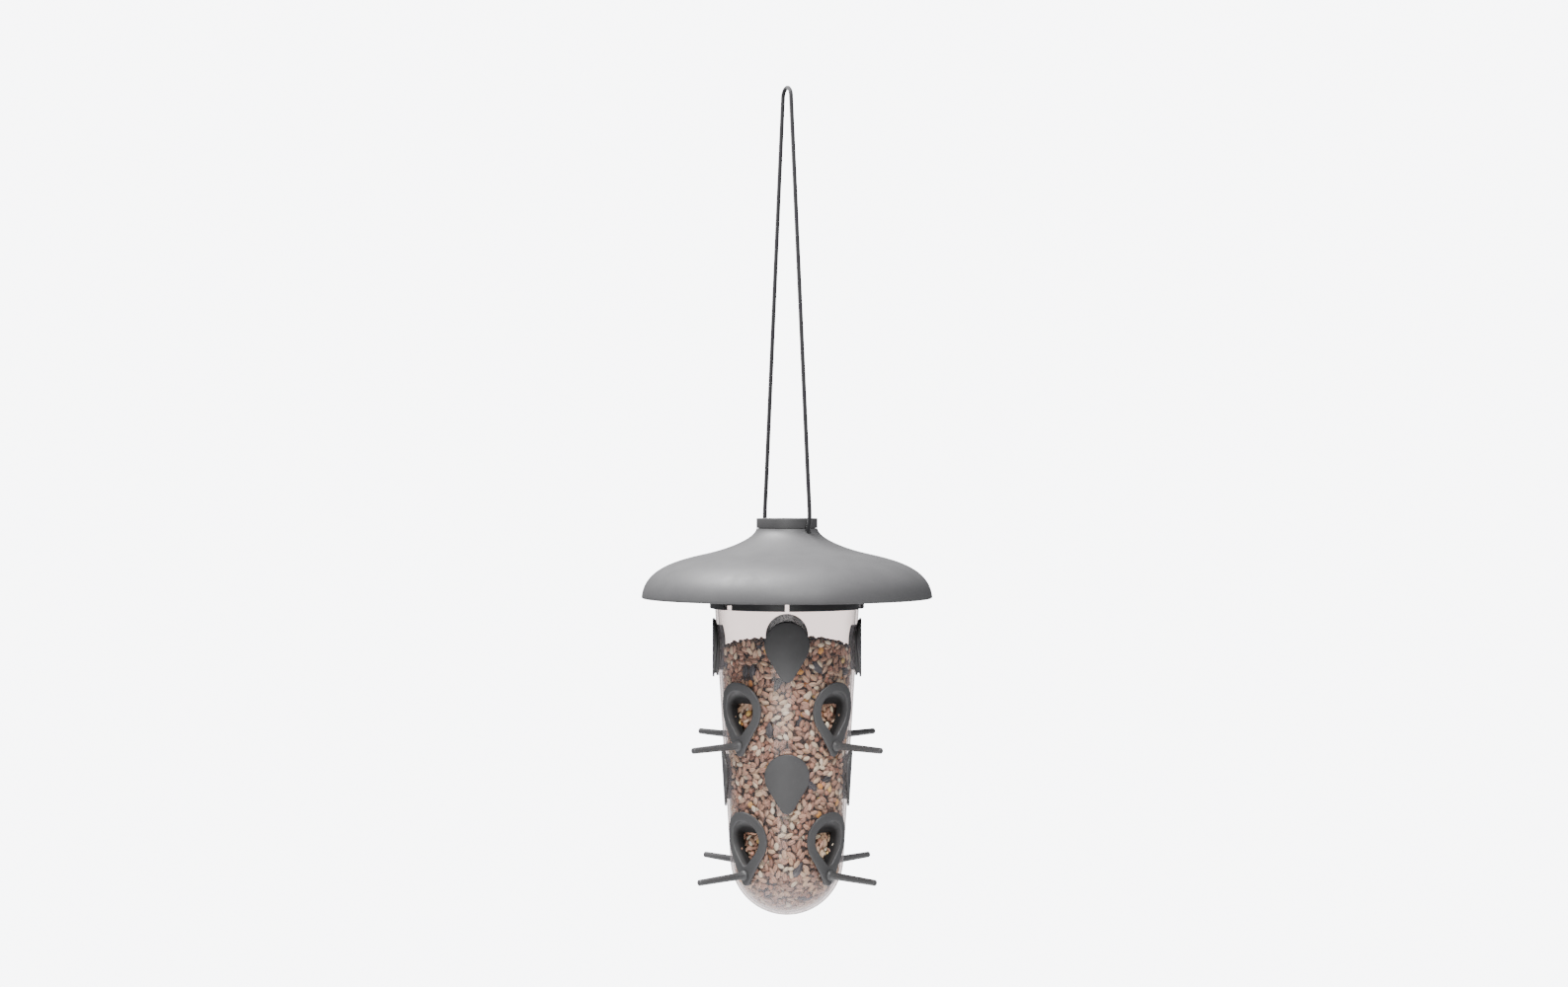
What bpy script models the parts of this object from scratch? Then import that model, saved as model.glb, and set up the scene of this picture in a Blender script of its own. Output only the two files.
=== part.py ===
"""Hanging seed feeder for garden birds: a clear tube under a wide roof that slides up its cord.

Metres, +Z up, front towards -Y. The origin is the inside top of the cord loop, where the feeder
hangs. Directions round the feeder are azimuths in degrees, 0 at the front and growing towards +X.
"""

import math

import bmesh
import bpy
from mathutils import Vector

MM = 0.001
GAP = 0.3 * MM  # clearance between pieces that touch
SEGMENTS = 32  # facets round every turned piece, all lined up
ROD_SIDES = 8
FACET_TURN = 2.1  # degrees, so that no facet's edge runs along a port's or a plug's middle

# Roof: a thin turned shell with a centring skirt inside, topped by a separate collar.
COLLAR_TOP_Z = -311.1 * MM
COLLAR_RADIUS = 22.2 * MM
COLLAR_HEIGHT = 7.4 * MM
COLLAR_SPIGOT_RADIUS = 17.4 * MM
COLLAR_SPIGOT_DEPTH = 6.0 * MM
SHOULDER_RADIUS = 57.8 * MM
SHOULDER_DROP = 25.5 * MM
SHOULDER_FALL = math.tan(math.radians(12.6))
SHOULDER_HANDLES = (14.9 * MM, 20.8 * MM)  # how far the side runs straight either way
NECK_HANDLE = (1.1 * MM, 7.4 * MM)
BRIM_HANDLE = (1.9 * MM, 21.2 * MM)
ROOF_RADIUS = 105.4 * MM
ROOF_DROP = 57.6 * MM
ROOF_WALL = 2.0 * MM
BRIM_EDGE = 0.4 * MM
ROOF_SKIRT_RADIUS = 52.0 * MM
ROOF_LIP_RADIUS = 47.2 * MM
ROOF_LIP_DEPTH = 3.0 * MM
COLLAR_EDGE = 0.6 * MM

# Tube: a slow taper closed by a round foot.
TUBE_TOP_Z = -355.3 * MM
TUBE_REFERENCE_Z = -380.6 * MM
TUBE_REFERENCE_RADIUS = 52.0 * MM
TUBE_TAPER = math.radians(3.5)
FOOT_CENTRE_Z = -557.4 * MM
TUBE_WALL = 2.0 * MM
DRAIN_DIAMETER = 3.0 * MM
DRAIN_CIRCLE_RADIUS = 13.0 * MM
DRAINS = 5

# Rim ring: a channel over the tube's mouth, with slots that take the tube's lugs.
RING_RADIUS = 56.0 * MM
RING_TOP_Z = -352.7 * MM
RING_BOTTOM_Z = -376.3 * MM
RING_MOUTH_RADIUS = 49.5 * MM
RING_SKIRT_Z = -361.0 * MM
RING_SKIRT_WALL = 1.4 * MM
RING_EDGE = 0.5 * MM
RING_SLOT_SPAN = (51.5 * MM, 58.0 * MM)  # radii between which the slots are cut
BRIDGE_NOTCH_REACH = 52.0 * MM
SLOT_TOP_Z = -368.5 * MM
LUG_SLOT_WIDTH = 8.8 * MM
LUG_SLOT_AZIMUTHS = (-49, 71, 191)
KEY_SLOT_WIDTH = 2.9 * MM
LUG_REACH = 55.4 * MM

# Cord: one loop over a branch, in at the collar's foot and knotted under the bridge.
CORD_DIAMETER = 3.0 * MM
CORD_AZIMUTH = 42  # of the holes in the roof and the bridge
CORD_ROOF_HOLE_DIAMETER = 5.2 * MM
CORD_ROOF_HOLE = ((24.2 * MM, -314 * MM), (20.5 * MM, -326 * MM))  # two points on its slanting axis
CORD_BRIDGE_HOLE_DIAMETER = 4.4 * MM
CORD_BRIDGE_RADIUS = 19.0 * MM
CORD_BEND = (  # the strand's way from the bridge to where it runs straight, as (radius, z)
    (19.0 * MM, -360 * MM),
    (19.0 * MM, -348 * MM),
    (19.4 * MM, -335 * MM),
    (20.8 * MM, -325.5 * MM),
    (23.1 * MM, -317.5 * MM),
    (24.2 * MM, -308 * MM),
)
LOOP_RADIUS = 7.2 * MM  # of the cord's centre line over the branch
LOOP_AZIMUTH = 24
CORD_STEP = 9.5 * MM
KNOT_RADIUS = 4.0 * MM
KNOT_FLAT = 0.12 * math.pi  # where the knot's flat top is cut, as an angle from its pole

# Bridge: the bar across the mouth that the knots pull up against.
BRIDGE_TOP_Z = -356.0 * MM
BRIDGE_THICKNESS = 4.0 * MM
BRIDGE_WIDTH = 12.0 * MM
BRIDGE_LENGTH = 100.8 * MM

# Feeding ports: wrapped flanges with a hooded tunnel through the tube's wall.
PORT_AZIMUTHS = {"front_right": 45, "back_right": 135, "back_left": 225, "front_left": 315}
PORT_TOP_Z = {"upper": -427.3 * MM, "lower": -520.0 * MM}
PORT_WIDTH = 40.0 * MM
PORT_HEIGHT = 53.0 * MM
PORT_TIP_RADIUS = 4.2 * MM
PORT_FACE = 2.1 * MM
PORT_EDGE = 0.5 * MM
FOOT_SEAT_RISE = 6.0 * MM  # how far above the foot a flange begins to stand clear of it
OPENING_WIDTH = 27.0 * MM
OPENING_HEIGHT = 32.0 * MM
OPENING_TIP_RADIUS = 3.5 * MM
OPENING_BELOW_TOP = 6.5 * MM
TUNNEL_WALL = 1.5 * MM
TUNNEL_DEPTH = 7.0 * MM  # behind the tube's outer surface
HOOD_DROP = 11.0 * MM
HOOD_ARCH = 0.15  # how much of the opening's round top the hood's inner end keeps

# Perches: tapered rods plugged through the ports' lower tips.
PERCH_BELOW_TOP = 45.3 * MM
PERCH_REACH = 46.6 * MM
PERCH_ROOT_DIAMETER = 5.3 * MM
PERCH_TIP_DIAMETER = 4.3 * MM
PERCH_BOSS_DIAMETER = 7.5 * MM
PERCH_BOSS_HEIGHT = 1.6 * MM
PERCH_SPIGOT_DIAMETER = 4.0 * MM
PERCH_SPIGOT_DEPTH = 3.5 * MM

# Blanking plugs: teardrop plates that close the other eight holes.
PLUG_AZIMUTHS = {"front": 0, "right": 90, "back": 180, "left": 270}
PLUG_TOP_Z = {"upper": -383.5 * MM, "lower": -477.3 * MM}
PLUG_WIDTH = 32.8 * MM
PLUG_HEIGHT = 42.7 * MM
PLUG_TIP_RADIUS = 5.3 * MM
PLUG_THICKNESS = 1.5 * MM
PLUG_EDGE = 0.5 * MM
PLUG_NECK_INSET = 5.0 * MM
PLUG_NECK_DEPTH = 5.0 * MM
UPRIGHT_PLUG_RADIUS = 54.1 * MM  # the upper plates stand upright and so leave the taper
UPRIGHT_PLUG_RECESS = 2.5 * MM
UPRIGHT_PLUG_STEP = 1.0 * MM
UPRIGHT_PLUG_STEP_SHARE = 0.55  # of the way from the tube to the plate's back

# Seed: the filling, a little clear of the tube's inside.
SEED_TOP_Z = -400.0 * MM
SEED_MOUND = 3.0 * MM
SEED_CLEARANCE = 0.4 * MM
HOLE_CLEARANCE = 0.35 * MM
CUTTER_REACH = 5 * MM  # how far a cutter stands out of the tube
CUTTER_OVERRUN = 3 * MM  # how far one runs past a thin wall on each side


def clear_scene():
    for old in list(bpy.data.objects):
        bpy.data.objects.remove(old, do_unlink=True)


def material(name, colour, roughness, alpha=1.0):
    made = bpy.data.materials.new(name)
    made.use_nodes = True
    shader = made.node_tree.nodes["Principled BSDF"]
    shader.inputs["Base Color"].default_value = (*colour, 1.0)
    shader.inputs["Roughness"].default_value = roughness
    shader.inputs["Metallic"].default_value = 0.0
    shader.inputs["Alpha"].default_value = alpha
    return made


def polar(radius, azimuth, z):
    angle = math.radians(azimuth)
    return Vector((radius * math.sin(angle), -radius * math.cos(angle), z))


def cone_radius(z):
    """Outer radius of the tube's taper, carried on past the start of the foot."""
    return TUBE_REFERENCE_RADIUS + (z - TUBE_REFERENCE_Z) * math.tan(TUBE_TAPER)


FOOT_RADIUS = cone_radius(FOOT_CENTRE_Z) * math.cos(TUBE_TAPER)
FOOT_START_Z = FOOT_CENTRE_Z - FOOT_RADIUS * math.sin(TUBE_TAPER)


def tube_radius(z):
    """Outer radius of the tube, on the taper or on the round foot."""
    if z >= FOOT_START_Z:
        return cone_radius(z)
    return math.sqrt(max(0.0, FOOT_RADIUS**2 - (z - FOOT_CENTRE_Z) ** 2))


def seat_radius(z):
    """Where a part lying on the tube has its back, a little further out on the round foot."""
    extra = GAP if z < FOOT_START_Z + FOOT_SEAT_RISE else 0.0
    return tube_radius(z) + GAP + extra


# ---------------------------------------------------------------- mesh helpers


def object_from(name, mesh_builder, finish, sharp_angle=35):
    """Turns a bmesh into a named object with outward faces and smooth round sides."""
    bmesh.ops.recalc_face_normals(mesh_builder, faces=mesh_builder.faces)
    mesh = bpy.data.meshes.new(name)
    mesh_builder.to_mesh(mesh)
    mesh_builder.free()
    mesh.shade_smooth()
    mesh.set_sharp_from_angle(angle=math.radians(sharp_angle))
    made = bpy.data.objects.new(name, mesh)
    bpy.context.scene.collection.objects.link(made)
    if finish:
        mesh.materials.append(finish)
    return made


def add_loops(builder, loops, closed, centres=None):
    """Skins a stack of equal loops. A closed stack joins its ends, an open one is capped.

    Curved caps fan out from the two given centres, and flat ones are single faces.
    """
    rings = [[builder.verts.new(point) for point in loop] for loop in loops]
    pairs = list(zip(rings, rings[1:]))
    if closed:
        pairs.append((rings[-1], rings[0]))
    for lower, upper in pairs:
        for i in range(len(lower)):
            j = (i + 1) % len(lower)
            builder.faces.new((lower[i], lower[j], upper[j], upper[i]))
    if closed:
        return
    if centres is None:
        builder.faces.new(list(reversed(rings[0])))
        builder.faces.new(rings[-1])
        return
    for ring, centre in zip((rings[0], rings[-1]), centres):
        middle = builder.verts.new(centre)
        for i in range(len(ring)):
            builder.faces.new((ring[i], ring[(i + 1) % len(ring)], middle))


def lofted(name, loops, finish, closed=False, centres=None):
    builder = bmesh.new()
    add_loops(builder, loops, closed, centres)
    return object_from(name, builder, finish)


def turned(name, profile, finish, closed=True):
    """Turns (radius, z) points round the Z axis. An open profile starts and ends on the axis."""
    builder = bmesh.new()
    steps = range(SEGMENTS)
    turns = [FACET_TURN + 360 * k / SEGMENTS for k in steps]
    rings = [[builder.verts.new(polar(r, turn, z)) for turn in turns] for r, z in profile]
    last = len(rings) if closed else len(rings) - 1
    for i in range(last):
        lower, upper = rings[i], rings[(i + 1) % len(rings)]
        for k in steps:
            n = (k + 1) % SEGMENTS
            builder.faces.new((lower[k], lower[n], upper[n], upper[k]))
    bmesh.ops.remove_doubles(builder, verts=builder.verts, dist=0.001 * MM)
    return object_from(name, builder, finish)


def cubic(start, handle_a, handle_b, end, count):
    """Points along one Bezier curve, without its first point."""
    points = []
    for i in range(1, count + 1):
        t = i / count
        weights = ((1 - t) ** 3, 3 * (1 - t) ** 2 * t, 3 * (1 - t) * t * t, t**3)
        corners = (start, handle_a, handle_b, end)
        points.append(tuple(sum(w * c[k] for w, c in zip(weights, corners)) for k in (0, 1)))
    return points


def cutter(name, builder):
    """A hidden shape that only cuts."""
    made = object_from(name, builder, None)
    made.hide_render = True
    made.display_type = "WIRE"
    return made


def boolean(target, tool, operation="DIFFERENCE"):
    step = target.modifiers.new(tool.name, "BOOLEAN")
    step.operation = operation
    step.solver = "EXACT"
    step.object = tool


def rod_loops(axis_point, direction, stations, sides):
    """Loops of a round rod: stations are (distance along direction, radius)."""
    across = direction.cross(Vector((0, 0, 1)))
    across = (across if across.length > 0.5 else direction.cross(Vector((1, 0, 0)))).normalized()
    up = across.cross(direction)
    loops = []
    for distance, radius in stations:
        centre = axis_point + direction * distance
        turns = [2 * math.pi * k / sides for k in range(sides)]
        loops.append([centre + radius * (math.cos(a) * across + math.sin(a) * up) for a in turns])
    return loops


def box_loops(centre, azimuth, width, inner, outer, bottom, top):
    """A block whose width lies across the given azimuth and whose depth runs outwards."""
    outwards = polar(1, azimuth, 0)
    across = Vector((-outwards.y, outwards.x, 0)) * width / 2
    near, far = centre + outwards * inner, centre + outwards * outer
    corners = (near - across, far - across, far + across, near + across)
    return [[Vector((c.x, c.y, z)) for c in corners] for z in (bottom, top)]


# ---------------------------------------------------------------- teardrops wrapped on the tube


def teardrop(width, height, tip_radius, offset=0.0):
    """Outline with its round end up and its top at zero, grown outwards by offset."""
    big = width / 2 + offset
    small = tip_radius + offset
    big_z = -width / 2
    small_z = -height + tip_radius
    lean = math.asin((big - small) / (big_z - small_z))
    points = []
    for i in range(11):
        a = -lean + (math.pi + 2 * lean) * i / 10
        points.append((big * math.cos(a), big_z + big * math.sin(a)))
    side = Vector((-big * math.cos(lean), big_z - big * math.sin(lean)))
    foot = Vector((-small * math.cos(lean), small_z - small * math.sin(lean)))
    middle = side.lerp(foot, 0.5)
    points.append((middle.x, middle.y))
    for i in range(5):
        a = math.pi + lean + (math.pi - 2 * lean) * i / 4
        points.append((small * math.cos(a), small_z + small * math.sin(a)))
    points.append((-middle.x, middle.y))
    return points


def wrapped(outline, top_z, azimuth, radius_at, reference):
    """Lays an outline round the tube: sideways distance becomes an angle at the reference radius."""
    loop = []
    for sideways, down in outline:
        z = top_z + down
        loop.append(polar(radius_at(z), azimuth + math.degrees(sideways / reference), z))
    return loop


def port_outline(offset=0.0, hooded=False):
    """The port's opening, grown by offset. At the hood's inner end the top is a low arch."""
    outline = teardrop(OPENING_WIDTH, OPENING_HEIGHT, OPENING_TIP_RADIUS, offset)
    ceiling = offset - HOOD_DROP
    if not hooded:
        return outline
    return [(x, ceiling + (y - ceiling) * HOOD_ARCH if y > ceiling else y) for x, y in outline]


def plug_outline(offset=0.0):
    return teardrop(PLUG_WIDTH, PLUG_HEIGHT, PLUG_TIP_RADIUS, offset)


def plug_face(row, z):
    """Radius of a plug's outer face: the upper ones stand upright, the lower ones follow the taper."""
    return UPRIGHT_PLUG_RADIUS if row == "upper" else cone_radius(z) + GAP + PLUG_THICKNESS


def plug_reference(row):
    return plug_face(row, PLUG_TOP_Z[row] - PLUG_HEIGHT / 2)


def perch_z(row):
    return PORT_TOP_Z[row] - PERCH_BELOW_TOP


# ---------------------------------------------------------------- roof


def roof_outline():
    """The roof's outer side from the collar's foot to the brim, as (radius, z)."""
    base_z = COLLAR_TOP_Z - COLLAR_HEIGHT
    shoulder = (SHOULDER_RADIUS, COLLAR_TOP_Z - SHOULDER_DROP)
    brim = (ROOF_RADIUS, COLLAR_TOP_Z - ROOF_DROP + BRIM_EDGE)
    towards_neck, towards_brim = SHOULDER_HANDLES
    inward = (shoulder[0] - towards_neck, shoulder[1] + towards_neck * SHOULDER_FALL)
    outward = (shoulder[0] + towards_brim, shoulder[1] - towards_brim * SHOULDER_FALL)
    rim_handle = (ROOF_RADIUS - BRIM_HANDLE[0], brim[1] + BRIM_HANDLE[1])
    collar_foot = (COLLAR_RADIUS, base_z)
    flare_handle = (COLLAR_RADIUS + NECK_HANDLE[0], base_z - NECK_HANDLE[1])
    points = [collar_foot]
    points += cubic(collar_foot, flare_handle, inward, shoulder, 4)
    points += cubic(shoulder, outward, rim_handle, brim, 6)
    return points


def inside_of(outline, wall):
    """The outline again, moved inwards by the wall."""
    moved = []
    for i, (r, z) in enumerate(outline):
        before, after = outline[max(i - 1, 0)], outline[min(i + 1, len(outline) - 1)]
        along = Vector((after[0] - before[0], after[1] - before[1])).normalized()
        moved.append((r + along.y * wall, z - along.x * wall))
    return moved


def cord_holes(name):
    """Two slanting holes at the collar's foot."""
    builder = bmesh.new()
    for azimuth in (CORD_AZIMUTH, CORD_AZIMUTH + 180):
        top, bottom = (polar(radius, azimuth, z) for radius, z in CORD_ROOF_HOLE)
        way = (bottom - top).normalized()
        length = (bottom - top).length
        radius = CORD_ROOF_HOLE_DIAMETER / 2
        stations = [(-CUTTER_OVERRUN, radius), (length + CUTTER_OVERRUN, radius)]
        add_loops(builder, rod_loops(top, way, stations, ROD_SIDES), False)
    return cutter(name, builder)


def make_roof(finish):
    outer = roof_outline()
    inner = inside_of(outer, ROOF_WALL)
    lip_outer = RING_MOUTH_RADIUS - GAP
    rest_z = RING_TOP_Z + GAP
    lip_z = rest_z - ROOF_LIP_DEPTH
    hole = COLLAR_SPIGOT_RADIUS + GAP

    def ceiling_z(radius):
        for (r0, z0), (r1, z1) in zip(inner, inner[1:]):
            if r0 <= radius <= r1:
                return z0 + (z1 - z0) * (radius - r0) / (r1 - r0)
        return inner[0][1]

    brim_radius, brim_z = outer[-1]
    foot_z = brim_z - BRIM_EDGE
    profile = list(outer)
    profile += [(brim_radius - BRIM_EDGE, foot_z), (inner[-1][0] + BRIM_EDGE, foot_z)]
    profile += [p for p in reversed(inner) if p[0] > ROOF_SKIRT_RADIUS]
    profile += [(ROOF_SKIRT_RADIUS, ceiling_z(ROOF_SKIRT_RADIUS)), (ROOF_SKIRT_RADIUS, rest_z)]
    profile += [(lip_outer, rest_z), (lip_outer, lip_z), (ROOF_LIP_RADIUS, lip_z)]
    profile += [(ROOF_LIP_RADIUS, ceiling_z(ROOF_LIP_RADIUS))]
    profile += [p for p in reversed(inner) if COLLAR_RADIUS < p[0] < ROOF_LIP_RADIUS]
    land_z = outer[0][1]
    profile += [(COLLAR_RADIUS - ROOF_WALL, land_z - ROOF_WALL), (hole, land_z - ROOF_WALL), (hole, land_z)]
    roof = turned("roof", profile, finish)
    boolean(roof, cord_holes("roof_cord_holes"))


def make_collar(finish):
    """The cap on the roof's top, with a spigot down through the roof's hole."""
    foot_z = COLLAR_TOP_Z - COLLAR_HEIGHT + GAP
    spigot_z = foot_z - COLLAR_SPIGOT_DEPTH
    bore = COLLAR_SPIGOT_RADIUS - ROOF_WALL
    profile = [
        (0.0, COLLAR_TOP_Z),
        (COLLAR_RADIUS - COLLAR_EDGE, COLLAR_TOP_Z),
        (COLLAR_RADIUS, COLLAR_TOP_Z - COLLAR_EDGE),
        (COLLAR_RADIUS, foot_z),
        (COLLAR_SPIGOT_RADIUS, foot_z),
        (COLLAR_SPIGOT_RADIUS, spigot_z),
        (bore, spigot_z),
        (bore, COLLAR_TOP_Z - ROOF_WALL),
        (0.0, COLLAR_TOP_Z - ROOF_WALL),
    ]
    collar = turned("roof_collar", profile, finish, closed=False)
    boolean(collar, cord_holes("collar_cord_holes"))


# ---------------------------------------------------------------- cord, knots and bridge


def smooth_route(points, step):
    """Points about step apart along a Catmull-Rom curve through the given ones."""
    fine = [points[0]]
    for i in range(len(points) - 1):
        a, b = points[max(i - 1, 0)], points[i]
        c, d = points[i + 1], points[min(i + 2, len(points) - 1)]
        for k in range(1, 21):
            t = k / 20
            pull = (c - a) * t + (2 * a - 5 * b + 4 * c - d) * t**2 + (3 * b - a - 3 * c + d) * t**3
            fine.append(b + pull / 2)
    lengths = [(q - p).length for p, q in zip(fine, fine[1:])]
    count = round(sum(lengths) / step)
    spacing = sum(lengths) / count
    route, walked = [fine[0]], 0.0
    for p, q, length in zip(fine, fine[1:], lengths):
        while len(route) < count and walked + length >= spacing * len(route):
            route.append(p.lerp(q, (spacing * len(route) - walked) / length))
        walked += length
    return route + [fine[-1]]


def cord_route():
    """The cord's centre line from the front knot over the loop to the back knot."""
    loop_z = CORD_DIAMETER / 2 - LOOP_RADIUS
    bend = [polar(radius, CORD_AZIMUTH, z) for radius, z in CORD_BEND]
    loop_start = polar(LOOP_RADIUS, LOOP_AZIMUTH, loop_z)
    straight = [bend[-1].lerp(loop_start, i / 12) for i in range(1, 13)]
    front = smooth_route(bend + straight, CORD_STEP)
    top = []
    for i in range(1, 8):
        turn = math.pi * i / 8
        side = polar(LOOP_RADIUS * math.cos(turn), LOOP_AZIMUTH, 0)
        top.append(side + Vector((0, 0, loop_z + LOOP_RADIUS * math.sin(turn))))
    return front + top + [Vector((-p.x, -p.y, p.z)) for p in reversed(front)]


def make_cord(finish):
    curve = bpy.data.curves.new("hanging_cord", "CURVE")
    curve.dimensions = "3D"
    curve.bevel_depth = CORD_DIAMETER / 2
    curve.bevel_resolution = 2
    curve.use_fill_caps = True
    route = cord_route()
    spline = curve.splines.new("POLY")
    spline.points.add(len(route) - 1)
    for point, place in zip(spline.points, route):
        point.co = (*place, 1.0)
    spline.use_smooth = True
    cord = bpy.data.objects.new("hanging_cord", curve)
    curve.materials.append(finish)
    bpy.context.scene.collection.objects.link(cord)


def make_knot(name, azimuth, finish):
    """A pulled-down knot under the bridge."""
    top = polar(CORD_BRIDGE_RADIUS, azimuth, BRIDGE_TOP_Z - BRIDGE_THICKNESS - GAP)
    stations = []
    for i in range(7):
        turn = KNOT_FLAT + (math.pi - 2 * KNOT_FLAT) * i / 6
        depth = KNOT_RADIUS * (math.cos(KNOT_FLAT) - math.cos(turn))
        stations.append((depth, KNOT_RADIUS * math.sin(turn)))
    lofted(name, rod_loops(top, Vector((0, 0, -1)), stations, ROD_SIDES), finish)


def make_bridge(finish):
    half = BRIDGE_LENGTH / 2
    low_z = BRIDGE_TOP_Z - BRIDGE_THICKNESS
    bar = box_loops(Vector((0, 0, 0)), CORD_AZIMUTH, BRIDGE_WIDTH, -half, half, low_z, BRIDGE_TOP_Z)
    bridge = lofted("cord_bridge", bar, finish)
    builder = bmesh.new()
    for azimuth in (CORD_AZIMUTH, CORD_AZIMUTH + 180):
        radius = CORD_BRIDGE_HOLE_DIAMETER / 2
        stations = [(-CUTTER_OVERRUN, radius), (BRIDGE_THICKNESS + CUTTER_OVERRUN, radius)]
        foot = polar(CORD_BRIDGE_RADIUS, azimuth, low_z)
        add_loops(builder, rod_loops(foot, Vector((0, 0, 1)), stations, ROD_SIDES), False)
    boolean(bridge, cutter("bridge_cord_holes", builder))


# ---------------------------------------------------------------- rim ring and tube


def make_ring(finish):
    skirt_outer = RING_MOUTH_RADIUS + RING_SKIRT_WALL
    channel_z = TUBE_TOP_Z + GAP
    profile = [
        (cone_radius(RING_BOTTOM_Z) + GAP, RING_BOTTOM_Z),
        (RING_RADIUS - RING_EDGE, RING_BOTTOM_Z),
        (RING_RADIUS, RING_BOTTOM_Z + RING_EDGE),
        (RING_RADIUS, RING_TOP_Z - RING_EDGE),
        (RING_RADIUS - RING_EDGE, RING_TOP_Z),
        (RING_MOUTH_RADIUS, RING_TOP_Z),
        (RING_MOUTH_RADIUS, RING_SKIRT_Z),
        (skirt_outer, RING_SKIRT_Z),
        (skirt_outer, channel_z),
        (cone_radius(channel_z) + GAP, channel_z),
    ]
    ring = turned("rim_ring", profile, finish)
    builder = bmesh.new()
    below = RING_BOTTOM_Z - CUTTER_OVERRUN
    centre = Vector((0, 0, 0))
    slots = [(azimuth, LUG_SLOT_WIDTH) for azimuth in LUG_SLOT_AZIMUTHS] + [(0, KEY_SLOT_WIDTH)]
    for azimuth, width in slots:
        block = box_loops(centre, azimuth, width, *RING_SLOT_SPAN, below, SLOT_TOP_Z)
        add_loops(builder, block, False)
    notch_width = BRIDGE_WIDTH + 2 * GAP
    notch = (centre, CORD_AZIMUTH, notch_width, -BRIDGE_NOTCH_REACH, BRIDGE_NOTCH_REACH)
    notch_foot_z = RING_SKIRT_Z - CUTTER_OVERRUN
    add_loops(builder, box_loops(*notch, notch_foot_z, BRIDGE_TOP_Z + GAP), False)
    boolean(ring, cutter("ring_slots", builder))


def add_wall_prism(builder, outline, top_z, azimuth, reference, depth):
    """A wrapped prism from some way inside the tube to just outside it."""
    loops, centres = [], []
    for distance in (-depth, CUTTER_REACH):

        def level(z, distance=distance):
            return cone_radius(z) + distance

        middle_z = top_z + min(down for _, down in outline) / 2
        loops.append(wrapped(outline, top_z, azimuth, level, reference))
        centres.append(polar(level(middle_z), azimuth, middle_z))
    add_loops(builder, loops, False, centres)


def wall_cutter(name, port_depth, plug_depth, spigot_depth):
    """Everything that passes through the tube's wall, grown by a little clearance."""
    builder = bmesh.new()
    for row in PORT_TOP_Z:
        opening_z = PORT_TOP_Z[row] - OPENING_BELOW_TOP
        outline = port_outline(TUNNEL_WALL + HOLE_CLEARANCE)
        reference = cone_radius(opening_z - OPENING_HEIGHT / 2) + PORT_FACE
        for azimuth in PORT_AZIMUTHS.values():
            add_wall_prism(builder, outline, opening_z, azimuth, reference, port_depth)
            centre = polar(tube_radius(perch_z(row)), azimuth, perch_z(row))
            radius = PERCH_SPIGOT_DIAMETER / 2 + GAP
            stations = [(-spigot_depth, radius), (CUTTER_REACH, radius)]
            add_loops(builder, rod_loops(centre, polar(1, azimuth, 0), stations, ROD_SIDES), False)
    for row in PLUG_TOP_Z:
        outline = plug_outline(HOLE_CLEARANCE - PLUG_NECK_INSET)
        for azimuth in PLUG_AZIMUTHS.values():
            add_wall_prism(builder, outline, PLUG_TOP_Z[row], azimuth, plug_reference(row), plug_depth)
    return cutter(name, builder)


def vessel_profile(inset, top_z, steps):
    """The tube's side and foot from its top to the axis, moved inwards by inset."""
    shift = inset / math.cos(TUBE_TAPER)
    points = [(cone_radius(top_z) - shift, top_z)]
    radius = FOOT_RADIUS - inset
    for i in range(steps + 1):
        turn = TUBE_TAPER + (math.pi / 2 - TUBE_TAPER) * i / steps
        points.append((radius * math.cos(turn), FOOT_CENTRE_Z - radius * math.sin(turn)))
    points[-1] = (0.0, FOOT_CENTRE_Z - radius)
    return points


def make_tube(finish):
    outer = vessel_profile(0.0, TUBE_TOP_Z, 6)
    inner = vessel_profile(TUBE_WALL, TUBE_TOP_Z, 6)
    tube = turned("tube", list(reversed(inner)) + outer, finish, closed=False)
    lugs = bmesh.new()
    lug_width = LUG_SLOT_WIDTH - 2 * GAP
    for azimuth in LUG_SLOT_AZIMUTHS:
        inside = cone_radius(RING_BOTTOM_Z) - TUBE_WALL / 2
        low_z, high_z = RING_BOTTOM_Z + GAP, SLOT_TOP_Z - GAP
        block = box_loops(Vector((0, 0, 0)), azimuth, lug_width, inside, LUG_REACH, low_z, high_z)
        add_loops(lugs, block, False)
    boolean(tube, cutter("tube_lugs", lugs), "UNION")
    boolean(tube, wall_cutter("tube_holes", CUTTER_REACH, CUTTER_REACH, CUTTER_REACH))
    drains = bmesh.new()
    for i in range(DRAINS):
        centre = polar(DRAIN_CIRCLE_RADIUS, 360 * i / DRAINS, FOOT_CENTRE_Z - FOOT_RADIUS)
        stations = [(-CUTTER_OVERRUN, DRAIN_DIAMETER / 2), (3 * CUTTER_OVERRUN, DRAIN_DIAMETER / 2)]
        add_loops(drains, rod_loops(centre, Vector((0, 0, 1)), stations, ROD_SIDES), False)
    boolean(tube, cutter("tube_drains", drains))


def make_seed(finish):
    """The filling up to its top, hollowed where ports, plugs and spigots reach into it."""
    side = vessel_profile(TUBE_WALL + SEED_CLEARANCE, SEED_TOP_Z, 6)
    seed = turned("seed_fill", [(0.0, SEED_TOP_Z + SEED_MOUND)] + side, finish, closed=False)
    depths = [depth + 0.5 * MM for depth in (TUNNEL_DEPTH, PLUG_NECK_DEPTH, PERCH_SPIGOT_DEPTH)]
    boolean(seed, wall_cutter("seed_hollows", *depths))


# ---------------------------------------------------------------- ports, perches and plugs


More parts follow.
